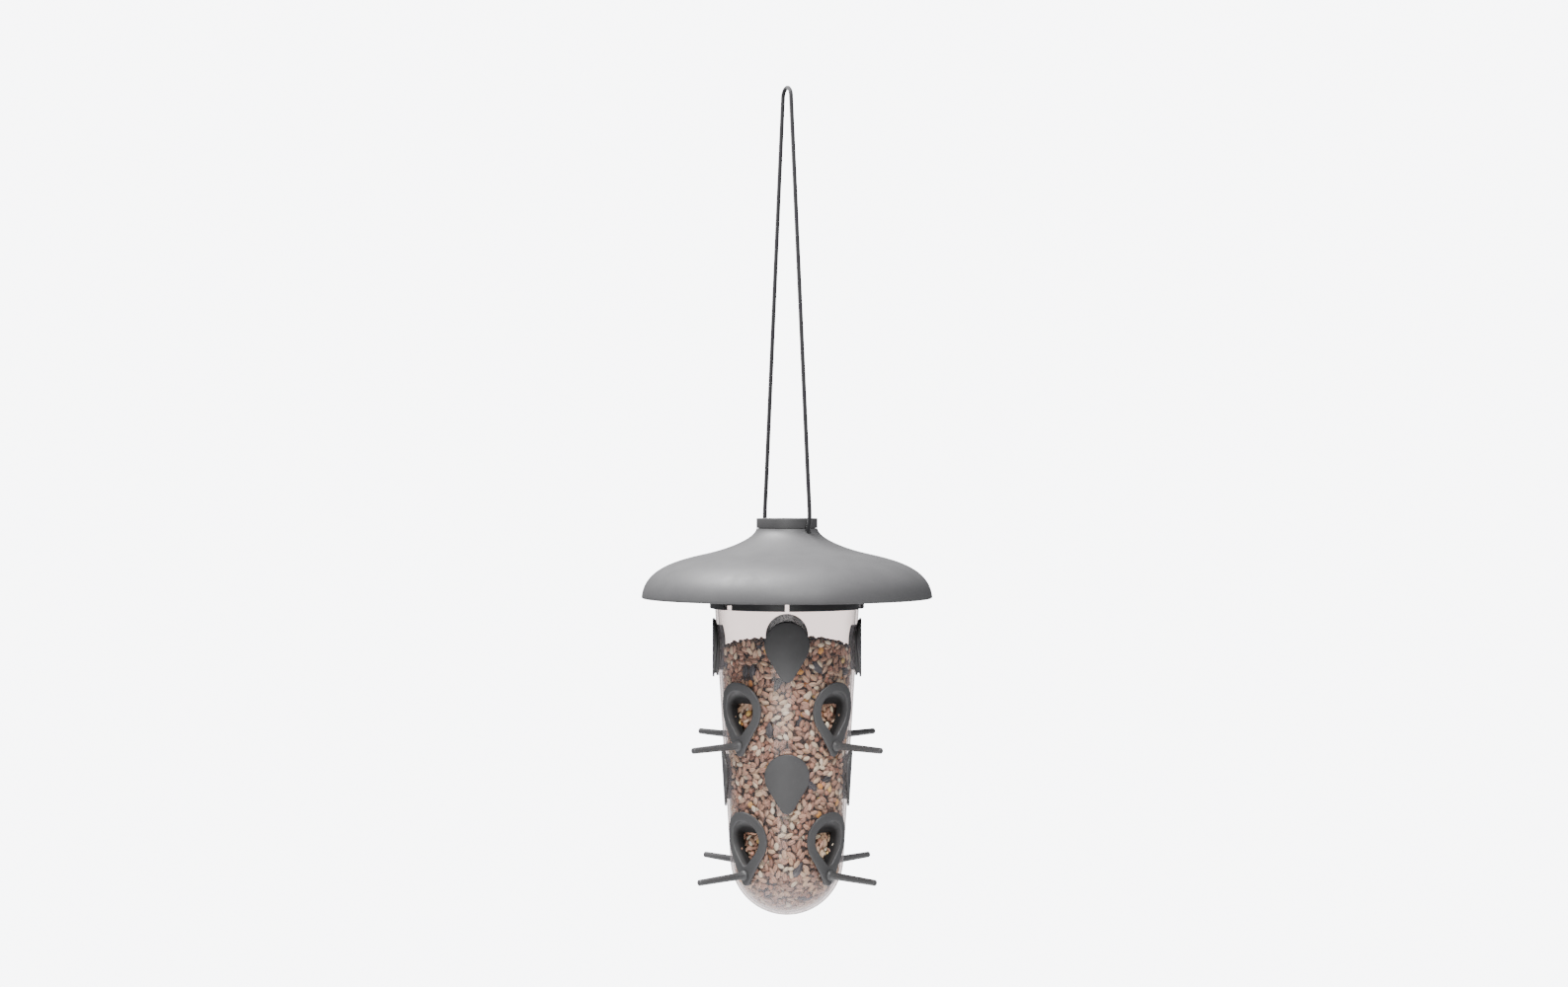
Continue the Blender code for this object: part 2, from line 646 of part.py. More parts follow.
def make_port(row, side, finish):
    azimuth = PORT_AZIMUTHS[side]
    top_z = PORT_TOP_Z[row]
    opening_z = top_z - OPENING_BELOW_TOP
    reference = cone_radius(opening_z - OPENING_HEIGHT / 2) + PORT_FACE
    flange = teardrop(PORT_WIDTH, PORT_HEIGHT, PORT_TIP_RADIUS)
    flange_face = teardrop(PORT_WIDTH, PORT_HEIGHT, PORT_TIP_RADIUS, -PORT_EDGE)

    def face(z):
        return cone_radius(z) + PORT_FACE

    def edge(z):
        return cone_radius(z) + PORT_FACE - PORT_EDGE

    def tunnel_end(z):
        return cone_radius(z) - TUNNEL_DEPTH

    def around(outline, start_z, radius_at):
        return wrapped(outline, start_z, azimuth, radius_at, reference)

    loops = [
        around(flange, top_z, seat_radius),
        around(flange, top_z, edge),
        around(flange_face, top_z, face),
        around(port_outline(), opening_z, face),
        around(port_outline(hooded=True), opening_z, tunnel_end),
        around(port_outline(TUNNEL_WALL, hooded=True), opening_z, tunnel_end),
        around(port_outline(TUNNEL_WALL), opening_z, seat_radius),
    ]
    port = lofted(f"port_{row}_{side}", loops, finish, closed=True)
    builder = bmesh.new()
    centre = polar(tube_radius(perch_z(row)), azimuth, perch_z(row))
    radius = PERCH_SPIGOT_DIAMETER / 2 + GAP
    stations = [(-CUTTER_REACH, radius), (CUTTER_REACH, radius)]
    add_loops(builder, rod_loops(centre, polar(1, azimuth, 0), stations, ROD_SIDES), False)
    boolean(port, cutter(f"socket_{row}_{side}", builder))


def make_perch(row, side, finish):
    azimuth = PORT_AZIMUTHS[side]
    z = perch_z(row)
    lean_room = PERCH_BOSS_DIAMETER / 2 * math.tan(TUBE_TAPER)
    boss = cone_radius(z) + PORT_FACE + GAP + lean_room
    tip = cone_radius(z) + PERCH_REACH
    spigot = PERCH_SPIGOT_DIAMETER / 2
    tip_radius = PERCH_TIP_DIAMETER / 2
    stations = [
        (tube_radius(z) - PERCH_SPIGOT_DEPTH, spigot),
        (boss, spigot),
        (boss, PERCH_BOSS_DIAMETER / 2),
        (boss + PERCH_BOSS_HEIGHT * 0.6, PERCH_BOSS_DIAMETER / 2),
        (boss + PERCH_BOSS_HEIGHT, PERCH_ROOT_DIAMETER / 2),
        (tip - 0.5 * tip_radius, tip_radius),
        (tip - 0.12 * tip_radius, tip_radius * 0.8),
        (tip, tip_radius * 0.45),
    ]
    loops = rod_loops(Vector((0, 0, z)), polar(1, azimuth, 0), stations, ROD_SIDES)
    lofted(f"perch_{row}_{side}", loops, finish)


def make_plug(row, side, finish):
    azimuth = PLUG_AZIMUTHS[side]
    top_z = PLUG_TOP_Z[row]
    reference = plug_reference(row)
    upright = row == "upper"

    def face(z):
        return plug_face(row, z)

    def around(inset, radius_at):
        return wrapped(plug_outline(-inset), top_z, azimuth, radius_at, reference)

    def back(z):
        return face(z) - PLUG_THICKNESS

    def step_face(z):
        return seat_radius(z) + UPRIGHT_PLUG_STEP_SHARE * (back(z) - seat_radius(z))

    def neck_end(z):
        return cone_radius(z) - PLUG_NECK_DEPTH

    crown = [(x * 0.5, (y + PLUG_WIDTH / 2) * 0.5 - PLUG_WIDTH / 2) for x, y in plug_outline()]
    loops = [
        wrapped(crown, top_z, azimuth, face, reference),
        around(PLUG_EDGE, face),
        around(0.0, lambda z: face(z) - PLUG_EDGE),
        around(0.0, back),
    ]
    if upright:
        loops += [around(UPRIGHT_PLUG_RECESS, back), around(UPRIGHT_PLUG_RECESS, step_face)]
        loops += [around(UPRIGHT_PLUG_STEP, step_face), around(UPRIGHT_PLUG_STEP, seat_radius)]
    loops += [around(PLUG_NECK_INSET, seat_radius), around(PLUG_NECK_INSET, neck_end)]
    middle_z = top_z - PLUG_WIDTH / 2
    centres = [polar(face(middle_z), azimuth, middle_z), polar(neck_end(middle_z), azimuth, middle_z)]
    lofted(f"plug_{row}_{side}", loops, finish, centres=centres)


def main():
    clear_scene()
    grey = material("grey_plastic", (0.36, 0.36, 0.37), 0.45)
    dark = material("dark_plastic", (0.02, 0.02, 0.022), 0.4)
    slate = material("slate_plastic", (0.12, 0.12, 0.125), 0.45)
    clear = material("clear_plastic", (0.8, 0.78, 0.77), 0.1, alpha=0.25)
    cord = material("black_cord", (0.012, 0.012, 0.014), 0.85)
    grain = material("seed_mix", (0.35, 0.22, 0.14), 0.7)

    make_roof(grey)
    make_collar(slate)
    make_bridge(dark)
    make_ring(dark)
    make_tube(clear)
    make_seed(grain)
    for row in PORT_TOP_Z:
        for side in PORT_AZIMUTHS:
            make_port(row, side, slate)
            make_perch(row, side, slate)
    for row in PLUG_TOP_Z:
        for side in PLUG_AZIMUTHS:
            make_plug(row, side, slate)
    make_cord(cord)
    make_knot("cord_knot_front", CORD_AZIMUTH, cord)
    make_knot("cord_knot_back", CORD_AZIMUTH + 180, cord)


main()
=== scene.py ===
import itertools
import math

import bmesh
import bpy
import numpy as np
from mathutils import Matrix, Vector


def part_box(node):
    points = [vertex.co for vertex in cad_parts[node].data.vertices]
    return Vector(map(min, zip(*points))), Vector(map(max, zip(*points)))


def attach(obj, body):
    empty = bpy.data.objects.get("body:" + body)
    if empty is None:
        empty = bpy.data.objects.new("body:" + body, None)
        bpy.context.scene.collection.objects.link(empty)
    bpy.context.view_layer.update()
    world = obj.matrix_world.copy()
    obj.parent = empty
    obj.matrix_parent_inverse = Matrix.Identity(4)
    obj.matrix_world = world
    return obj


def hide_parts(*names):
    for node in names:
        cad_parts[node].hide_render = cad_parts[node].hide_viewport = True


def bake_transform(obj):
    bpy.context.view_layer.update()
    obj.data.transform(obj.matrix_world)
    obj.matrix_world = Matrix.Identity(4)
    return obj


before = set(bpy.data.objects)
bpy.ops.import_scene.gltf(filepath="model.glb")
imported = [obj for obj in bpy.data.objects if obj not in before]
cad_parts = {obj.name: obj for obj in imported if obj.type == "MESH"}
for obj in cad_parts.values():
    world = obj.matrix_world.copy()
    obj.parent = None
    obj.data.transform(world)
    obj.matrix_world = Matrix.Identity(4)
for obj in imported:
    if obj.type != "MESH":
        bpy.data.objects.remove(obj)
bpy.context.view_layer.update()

# Looks of the hanging seed feeder. Metres, +Z up, front towards -Y. Directions round the feeder
# are azimuths in degrees, 0 at the front and growing towards +X.

MM = 0.001

# ---------------------------------------------------------------- sizes from the frame

roof_low, roof_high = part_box("roof")
ring_low, ring_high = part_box("rim_ring")
bridge_low, bridge_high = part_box("cord_bridge")

# Roof and collar
COLLAR_TOP_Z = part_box("roof_collar")[1][2]
COLLAR_FOOT_Z = roof_high[2]
COLLAR_RADIUS = 22.2 * MM
COLLAR_EDGE = 0.5 * MM
COLLAR_DISH = (3.4 * MM, 4.2 * MM, 0.8 * MM)  # how far in it starts and ends, and its depth
SPIGOT_RADIUS = 17.4 * MM
SPIGOT_DEPTH = 6.0 * MM
ROOF_RADIUS = 105.4 * MM
BRIM_Z = roof_low[2]
BRIM_ROUNDING = 0.8 * MM
SHOULDER_RADIUS = 57.8 * MM
SHOULDER_DROP = 25.5 * MM
SHOULDER_FALL = math.tan(math.radians(12.6))
SHOULDER_HANDLES = (14.9 * MM, 20.8 * MM)  # run of its curve handles, inwards and outwards
NECK_HANDLE = (1.1 * MM, 7.4 * MM)  # run and height of a curve handle
BRIM_HANDLE = (1.9 * MM, 21.2 * MM)
ROOF_WALL = 2.0 * MM
ROOF_SKIRT_RADIUS = 52.0 * MM
ROOF_LIP_RADIUS = 47.2 * MM
ROOF_LIP_DEPTH = 3.0 * MM
GAP = 0.3 * MM  # clearance between pieces that touch

# Rim ring and bridge
RING_RADIUS = 56.0 * MM
RING_EDGE = 0.6 * MM
RING_MOUTH_RADIUS = 49.5 * MM
RING_SKIRT_Z = -361.0 * MM
RING_SKIRT_WALL = 1.4 * MM
RING_SLOT_TOP_Z = -368.5 * MM
RING_SLOT_SPAN = (51.5 * MM, 58.0 * MM)  # radii between which the slots are cut
LUG_SLOT_AZIMUTHS = (-49, 71, 191)
LUG_SLOT_WIDTH = 8.8 * MM
LUG_REACH = 55.4 * MM
KEY_SLOT_WIDTH = 2.9 * MM
BRIDGE_NOTCH = (12.6 * MM, 52.0 * MM)  # width and reach
BRIDGE_HALF_WIDTH = 6.0 * MM
BRIDGE_END = (45.0 * MM, 5.2 * MM)  # where the rounded end starts and how far it goes on
BRIDGE_EDGE = 0.8 * MM
BRIDGE_HOLE_RADIUS = 2.2 * MM

# Tube
TUBE_TOP_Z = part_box("tube")[1][2]
TUBE_REFERENCE_Z = -380.6 * MM
TUBE_REFERENCE_RADIUS = 52.0 * MM
TAPER = math.radians(3.5)
FOOT_CENTRE_Z = -557.4 * MM
TUBE_WALL = 2.0 * MM
HOLE_CLEARANCE = 0.35 * MM
DRAINS = 5
DRAIN_RADIUS = 1.5 * MM
DRAIN_CIRCLE_RADIUS = 13.0 * MM

# Cord
CORD_DIAMETER = 3.0 * MM
CORD_AZIMUTHS = {"front": 42, "back": 222}
CORD_HOLE_RADIUS = 2.6 * MM
CORD_HOLE_ENDS = ((24.2 * MM, -314 * MM), (20.5 * MM, -326 * MM))  # points on its axis, as (radius, z)
CORD_HOLE_Z = -322 * MM
CORD_BRIDGE_RADIUS = 19.0 * MM
CORD_BEND = (  # the strand's way from the bridge to where it runs straight, as (radius, z)
    (19.0 * MM, -360 * MM),
    (19.0 * MM, -348 * MM),
    (19.4 * MM, -335 * MM),
    (20.8 * MM, -325.5 * MM),
    (23.1 * MM, -317.5 * MM),
    (24.2 * MM, -308 * MM),
)
CORD_STEP = 0.6 * MM
SPLIT_DROP = 8 * MM  # how far below the roof's holes the loop ends and the legs start
SPLIT_OVERLAP = 0.5 * MM
LOOP_RADIUS = 7.2 * MM
LOOP_AZIMUTH = 24
PLAIT_TURN = 4.2  # length of one turn of a strand, in cord diameters
PLAIT_DEPTH = 0.05  # how far the plait goes in and out, as a share of the radius
KNOT_DROP = 4.3 * MM  # from the bridge to a knot's middle
KNOT_SCALE = 0.9 * MM
KNOT_STRAND_RADIUS = 1.25 * MM

# Ports, perches and plugs. A teardrop's size is its width, height and tip radius.
ROWS = ("upper", "lower")
PORT_AZIMUTHS = {"front_right": 45, "back_right": 135, "back_left": 225, "front_left": 315}
PORT_TOP_Z = {row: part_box(f"port_{row}_front_left")[1][2] for row in ROWS}
PORT_SIZE = (40.0 * MM, 53.0 * MM, 4.2 * MM)
PORT_FACE = 2.1 * MM
PORT_EDGE = 0.8 * MM
OPENING_SIZE = (27.0 * MM, 32.0 * MM, 3.5 * MM)
OPENING_BELOW_TOP = 6.5 * MM
OPENING_LIP = 1.1 * MM
TUNNEL_WALL = 1.5 * MM
TUNNEL_DEPTH = 7.0 * MM
TUNNEL_END = ((0.35, 0.25), (0.75, 0.35), (1.15, 0.25), (1.5, 0.0))  # its rim, in mm out and back
HOOD_DROP = 11.0 * MM
HOOD_ARCH = 0.15  # how much of the opening's round top the hood's inner end keeps
PERCH_Z = {row: sum(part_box(f"perch_{row}_front_left")[i][2] for i in (0, 1)) / 2 for row in ROWS}
PERCH_REACH = 46.6 * MM
PERCH_ROOT_RADIUS = 2.65 * MM
PERCH_TIP_RADIUS = 2.15 * MM
PERCH_NOSE = (0.8 * MM, 0.9 * MM)  # length and inset of the rounding at the tip
PERCH_BOSS_RADIUS = 3.75 * MM
PERCH_BOSS = ((0.0, 3.45), (0.3, 3.75), (0.7, 3.75), (1.0, 3.66), (1.2, 3.4))  # height, radius in mm
PERCH_FILLET = (1.3 * MM, 0.9 * MM, 0.6 * MM)  # where it starts, its height and its width
PERCH_SPIGOT_RADIUS = 2.0 * MM
PERCH_SPIGOT_DEPTH = 3.5 * MM
PERCH_SOCKET_RADIUS = 2.3 * MM
PLUG_AZIMUTHS = {"front": 0, "right": 90, "back": 180, "left": 270}
PLUG_TOP_Z = {row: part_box(f"plug_{row}_front")[1][2] for row in ROWS}
PLUG_SIZE = (32.8 * MM, 42.7 * MM, 5.3 * MM)
PLUG_THICKNESS = 1.5 * MM
PLUG_EDGE = 0.7 * MM
PLUG_NECK_INSET = 5.0 * MM
PLUG_NECK_DEPTH = 5.0 * MM
PLUG_NECK_EDGE = 0.6 * MM
UPRIGHT_PLUG_RADIUS = 54.1 * MM
UPRIGHT_PLUG_STEPS = (2.5 * MM, 1.0 * MM)  # insets of the recess and of the step behind it
UPRIGHT_PLUG_STEP_SHARE = 0.55  # of the way from the tube to the plate's back
# Painted shade on the upright plates for the roof's shadow: its share at a plate's top, fading to none over
# the length below
UPRIGHT_PLUG_PAINTED_SHADE = 0.36  # at its top, gone PAINTED_SHADE_LENGTH further down
PAINTED_SHADE_LENGTH = 34 * MM

# Seed
SEED_TOP_Z = -396.0 * MM


def polar(radius, azimuth, z):
    """The point at an azimuth in degrees."""
    angle = math.radians(azimuth)
    return Vector((radius * math.sin(angle), -radius * math.cos(angle), z))


def cone_radius(z):
    """Radius of the tube's straight taper, also above and below the tube."""
    return TUBE_REFERENCE_RADIUS + (z - TUBE_REFERENCE_Z) * math.tan(TAPER)


FOOT_RADIUS = cone_radius(FOOT_CENTRE_Z) * math.cos(TAPER)
FOOT_START_Z = FOOT_CENTRE_Z - FOOT_RADIUS * math.sin(TAPER)


def tube_radius(z):
    """Outer radius of the tube, with its round foot."""
    if z >= FOOT_START_Z:
        return cone_radius(z)
    return math.sqrt(max(0.0, FOOT_RADIUS**2 - (z - FOOT_CENTRE_Z) ** 2))


def seat_radius(z):
    """Where a piece that lies on the tube has its back."""
    return tube_radius(z) + GAP


# ---------------------------------------------------------------- mesh helpers


def new_object(name, mesh, material, angle=35):
    """Links a mesh, smooth except at edges sharper than an angle in degrees."""
    mesh.shade_smooth()
    mesh.set_sharp_from_angle(angle=math.radians(angle))
    made = bpy.data.objects.new(name, mesh)
    bpy.context.scene.collection.objects.link(made)
    if material:
        mesh.materials.append(material)
    return made


def from_builder(name, builder, material, angle=35):
    """Welds what a builder holds and makes an object of it."""
    bmesh.ops.remove_doubles(builder, verts=builder.verts, dist=0.002 * MM)
    bmesh.ops.recalc_face_normals(builder, faces=builder.faces)
    mesh = bpy.data.meshes.new(name)
    builder.to_mesh(mesh)
    builder.free()
    return new_object(name, mesh, material, angle)


def add_loops(builder, loops, closed=False, centres=None):
    """Skins a stack of equal loops. An open stack is capped by faces or by fans to two centres."""
    rings = [[builder.verts.new(point) for point in loop] for loop in loops]
    pairs = list(zip(rings, rings[1:]))
    if closed:
        pairs.append((rings[-1], rings[0]))
    for lower, upper in pairs:
        for i in range(len(lower)):
            j = (i + 1) % len(lower)
            builder.faces.new((lower[i], lower[j], upper[j], upper[i]))
    if closed:
        return
    if centres is None:
        builder.faces.new(list(reversed(rings[0])))
        builder.faces.new(rings[-1])
        return
    for ring, centre in zip((rings[0], rings[-1]), centres):
        middle = builder.verts.new(centre)
        for i in range(len(ring)):
            builder.faces.new((ring[i], ring[(i + 1) % len(ring)], middle))


def turned(name, profile, material, segments=144, closed=True, angle=35):
    """Turns (radius, z) points round the Z axis. An open profile starts and ends on the axis."""
    builder = bmesh.new()
    turns = [360 * k / segments for k in range(segments)]
    rings = []
    for radius, z in profile:
        if radius < 0.001 * MM:
            rings.append([builder.verts.new((0, 0, z))] * segments)
        else:
            rings.append([builder.verts.new(polar(radius, turn, z)) for turn in turns])
    count = len(rings) if closed else len(rings) - 1
    for i in range(count):
        lower, upper = rings[i], rings[(i + 1) % len(rings)]
        for k in range(segments):
            n = (k + 1) % segments
            corners = []
            for corner in (lower[k], lower[n], upper[n], upper[k]):
                if corner not in corners:
                    corners.append(corner)
            if len(corners) > 2:
                builder.faces.new(corners)
    return from_builder(name, builder, material, angle)


def cubic(start, handle_a, handle_b, end, count):
    """Points on a Bezier curve in a profile, without its start."""
    points = []
    for i in range(1, count + 1):
        t = i / count
        weights = ((1 - t) ** 3, 3 * (1 - t) ** 2 * t, 3 * (1 - t) * t * t, t**3)
        corners = (start, handle_a, handle_b, end)
        points.append(tuple(sum(w * c[k] for w, c in zip(weights, corners)) for k in (0, 1)))
    return points


def arc(centre, radius, start, end, count):
    """Points on an arc in a profile, from one angle to another in degrees."""
    points = []
    for i in range(count + 1):
        turn = math.radians(start + (end - start) * i / count)
        points.append((centre[0] + radius * math.cos(turn), centre[1] + radius * math.sin(turn)))
    return points


def rod_loops(base, direction, stations, sides):
    """Loops of a round rod: stations are (distance along direction, radius)."""
    across = direction.cross(Vector((0, 0, 1)))
    across = (across if across.length > 0.5 else direction.cross(Vector((1, 0, 0)))).normalized()
    up = across.cross(direction)
    turns = [2 * math.pi * k / sides for k in range(sides)]
    loops = []
    for distance, radius in stations:
        centre = base + direction * distance
        loops.append([centre + radius * (math.cos(a) * across + math.sin(a) * up) for a in turns])
    return loops


def box_loops(azimuth, width, inner, outer, bottom, top):
    """A box that points outwards at an azimuth."""
    outwards = polar(1, azimuth, 0)
    across = Vector((-outwards.y, outwards.x, 0)) * width / 2
    near, far = outwards * inner, outwards * outer
    corners = (near - across, far - across, far + across, near + across)
    return [[Vector((c.x, c.y, z)) for c in corners] for z in (bottom, top)]


def add_drill(builder, base, direction, span, radius, sides=32):
    """A round cutter along a direction, between the two distances in span."""
    add_loops(builder, rod_loops(base, direction, [(distance, radius) for distance in span], sides))


def cut(target, builder, operation="DIFFERENCE"):
    """Applies one exact Boolean with a throw-away tool, then smooths the result again."""
    tool = from_builder("cut_tool", builder, None)
    step = target.modifiers.new("cut", "BOOLEAN")
    step.operation = operation
    step.solver = "EXACT"
    step.object = tool
    bpy.context.view_layer.update()
    shaped = target.evaluated_get(bpy.context.evaluated_depsgraph_get())
    mesh = bpy.data.meshes.new_from_object(shaped)
    target.modifiers.clear()
    old = target.data
    target.data = mesh
    bpy.data.meshes.remove(old)
    bpy.data.objects.remove(tool, do_unlink=True)
    mesh.shade_smooth()
    mesh.set_sharp_from_angle(angle=math.radians(35))


def stands_for(piece, body, slot, *nodes):
    """Says which body a piece rides on and hides the nodes it takes the place of; the slot is not used."""
    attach(piece, body)
    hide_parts(*nodes)


# ---------------------------------------------------------------- teardrops wrapped on the tube


def teardrop(size, offset=0.0, top=30, side=7, tip=12):
    """Outline with its round end up and its top at zero, grown outwards by offset."""
    width, height, tip_radius = size
    big, small = width / 2 + offset, max(tip_radius + offset, 0.3 * MM)
    big_z, small_z = -width / 2, -height + tip_radius
    lean = math.asin((big - small) / (big_z - small_z))
    points = []
    for i in range(top + 1):
        a = -lean + (math.pi + 2 * lean) * i / top
        points.append((big * math.cos(a), big_z + big * math.sin(a)))
    start = Vector((-big * math.cos(lean), big_z - big * math.sin(lean)))
    end = Vector((-small * math.cos(lean), small_z - small * math.sin(lean)))
    middle = [start.lerp(end, i / side) for i in range(1, side)]
    points += [(p.x, p.y) for p in middle]
    for i in range(tip + 1):
        a = math.pi + lean + (math.pi - 2 * lean) * i / tip
        points.append((small * math.cos(a), small_z + small * math.sin(a)))
    points += [(-p.x, p.y) for p in reversed(middle)]
    return points


def shrunk(outline, factor, middle):
    """An outline scaled about a height on its axis."""
    return [(x * factor, middle + (y - middle) * factor) for x, y in outline]


def wrapped(outline, top_z, azimuth, radius_at, reference):
    """Lays an outline round the tube: sideways distance becomes an angle at the reference radius."""
    loop = []
    for sideways, down in outline:
        z = top_z + down
        loop.append(polar(radius_at(z), azimuth + math.degrees(sideways / reference), z))
    return loop


def hooded(outline, offset, share):
    """Lowers the outline's top towards the hood's inner end by a share of the way."""
    ceiling = offset - HOOD_DROP
    lowered = []
    for x, y in outline:
        if y > ceiling:
            y += (ceiling + (y - ceiling) * HOOD_ARCH - y) * share
        lowered.append((x, y))
    return lowered


def raised(distance):
    """A radius some way out from the tube's taper, for wrapped."""
    return lambda z: cone_radius(z) + distance


def port_reference(row):
    """Radius of a port's face at the middle of its opening, at which it is wrapped."""
    return cone_radius(PORT_TOP_Z[row] - OPENING_BELOW_TOP - OPENING_SIZE[1] / 2) + PORT_FACE


def plug_face(row, z):
    """Radius of a plate's face: upright in the upper row, along the tube in the lower."""
    return UPRIGHT_PLUG_RADIUS if row == "upper" else cone_radius(z) + GAP + PLUG_THICKNESS


def plug_reference(row):
    """Radius of a plate's face at its middle, at which it is wrapped."""
    return plug_face(row, PLUG_TOP_Z[row] - PLUG_SIZE[1] / 2)


# ---------------------------------------------------------------- camera

IMAGE_WIDTH = 1588
FOCAL_PIXELS = 2250.0
SENSOR_MM = 36.0
CAMERA_PLACE = (-0.00215, -1.613, -0.2932)  # level, and square on to the feeder's front
camera_data = bpy.data.cameras.new("camera")
camera_data.sensor_width = SENSOR_MM
camera_data.lens = SENSOR_MM * FOCAL_PIXELS / IMAGE_WIDTH
camera_data.clip_start = 0.05
camera = bpy.data.objects.new("camera", camera_data)
camera.location = CAMERA_PLACE
camera.rotation_euler = (math.radians(90), 0, 0)
bpy.context.scene.collection.objects.link(camera)
bpy.context.scene.camera = camera


# ---------------------------------------------------------------- materials


class Nodes:
    """A short way to write a node tree."""

    def __init__(self, name):
        self.material = bpy.data.materials.new(name)
        self.material.use_nodes = True
        self.tree = self.material.node_tree
        self.shader = self.tree.nodes["Principled BSDF"]
        self.output = self.tree.nodes["Material Output"]

    def add(self, kind, **values):
        node = self.tree.nodes.new(kind)
        for key, value in values.items():
            if key in node.inputs:
                node.inputs[key].default_value = value
            else:
                setattr(node, key, value)
        return node

    def link(self, source, target):
        self.tree.links.new(source, target)

    def noise(self, scale, detail=4.0, roughness=0.55, source=None, stretch=None, offset=None):
        node = self.add("ShaderNodeTexNoise", Scale=scale, Detail=detail, Roughness=roughness)
        place = self.add("ShaderNodeTexCoord").outputs["Object"] if source is None else source
        if stretch:
            mapping = self.add("ShaderNodeMapping")
            mapping.inputs["Scale"].default_value = stretch
            self.link(place, mapping.inputs["Vector"])
            place = mapping.outputs["Vector"]
        self.link(place, node.inputs["Vector"])
        if offset is not None:
            node.noise_dimensions = "4D"
            self.link(offset, node.inputs["W"])
        return node.outputs["Fac"]

    def ramp(self, source, stops):
        node = self.add("ShaderNodeValToRGB")
        stops = list(stops)
        while len(node.color_ramp.elements) < len(stops):
            node.color_ramp.elements.new(0.5)
        for element, (position, colour) in zip(node.color_ramp.elements, stops):
            element.position = position
            element.color = (*colour, 1.0) if len(colour) == 3 else colour
        self.link(source, node.inputs["Fac"])
        return node.outputs["Color"]

    def span(self, source, low, high, start=0.0, end=1.0):
        node = self.add("ShaderNodeMapRange")
        for key, value in (("From Min", start), ("From Max", end), ("To Min", low), ("To Max", high)):
            node.inputs[key].default_value = value
        self.link(source, node.inputs["Value"])
        return node.outputs["Result"]

    def mix(self, factor, first, second, mode="MIX"):
        node = self.add("ShaderNodeMix", data_type="RGBA", blend_type=mode)
        for socket, value in ((node.inputs[0], factor), (node.inputs[6], first), (node.inputs[7], second)):
            if hasattr(value, "is_linked"):
                self.link(value, socket)
            elif isinstance(value, tuple):
                socket.default_value = (*value, 1.0)
            else:
                socket.default_value = value
        return node.outputs[2]

    def maths(self, operation, first, second=0.5):
        node = self.add("ShaderNodeMath", operation=operation)
        for socket, value in zip(node.inputs, (first, second)):
            if hasattr(value, "is_linked"):
                self.link(value, socket)
            else:
                socket.default_value = value
        return node.outputs[0]

    def bump(self, height, distance, strength=1.0, below=None):
        node = self.add("ShaderNodeBump", Strength=strength, Distance=distance)
        self.link(height, node.inputs["Height"])
        if below:
            self.link(below, node.inputs["Normal"])
        return node.outputs["Normal"]

    def attribute(self, name, output="Fac"):
        return self.add("ShaderNodeAttribute", attribute_name=name).outputs[output]

    def surface(self, colour=None, roughness=None, normal=None):
        for key, value in (("Base Color", colour), ("Roughness", roughness), ("Normal", normal)):
            if value is not None:
                self.link(value, self.shader.inputs[key])
        return self.material


PLASTIC_GRAIN = 0.45 * MM


def moulded_plastic(name, shades, roughness, with_painted_shade=False):
    """Satin moulded plastic: faint flow marks, a fine spark-eroded grain and a little dust.

    Its shades are a dark, a middle and a light one. One with painted shade darkens towards near
    black, and grows rougher, where the mesh's attribute "shade" is high.
    """
    n = Nodes(name)
    flow = n.noise(18.0, 5.0, 0.6)
    colour = n.ramp(flow, zip((0.25, 0.5, 0.78), shades))
    dust = n.ramp(n.noise(420.0, 3.0, 0.7), ((0.60, (0, 0, 0)), (0.74, (1, 1, 1))))
    dusty = tuple(min(1.0, c * 1.8 + 0.02) for c in shades[-1])
    colour = n.mix(n.maths("MULTIPLY", dust, 0.10), colour, dusty)
    rub = n.span(n.noise(60.0, 6.0, 0.7), roughness - 0.06, roughness + 0.09, 0.3, 0.7)
    if with_painted_shade:
        # Painted shade: the colour goes towards near black, and the surface rougher, with the attribute
        shade = n.span(n.attribute("shade"), 0.0, 0.97, 0.06, 0.50)
        rub = n.maths("ADD", rub, n.maths("MULTIPLY", shade, 0.35))
        colour = n.mix(shade, colour, (0.006, 0.005, 0.005))
    grain = n.noise(1.0 / PLASTIC_GRAIN, 2.0, 0.5)
    ripple = n.bump(n.noise(35.0, 2.0, 0.4), 0.25 * MM, 0.25)
    normal = n.bump(grain, 0.03 * MM, 0.55, ripple)
    n.shader.inputs["IOR"].default_value = 1.49
    return n.surface(colour, rub, normal)


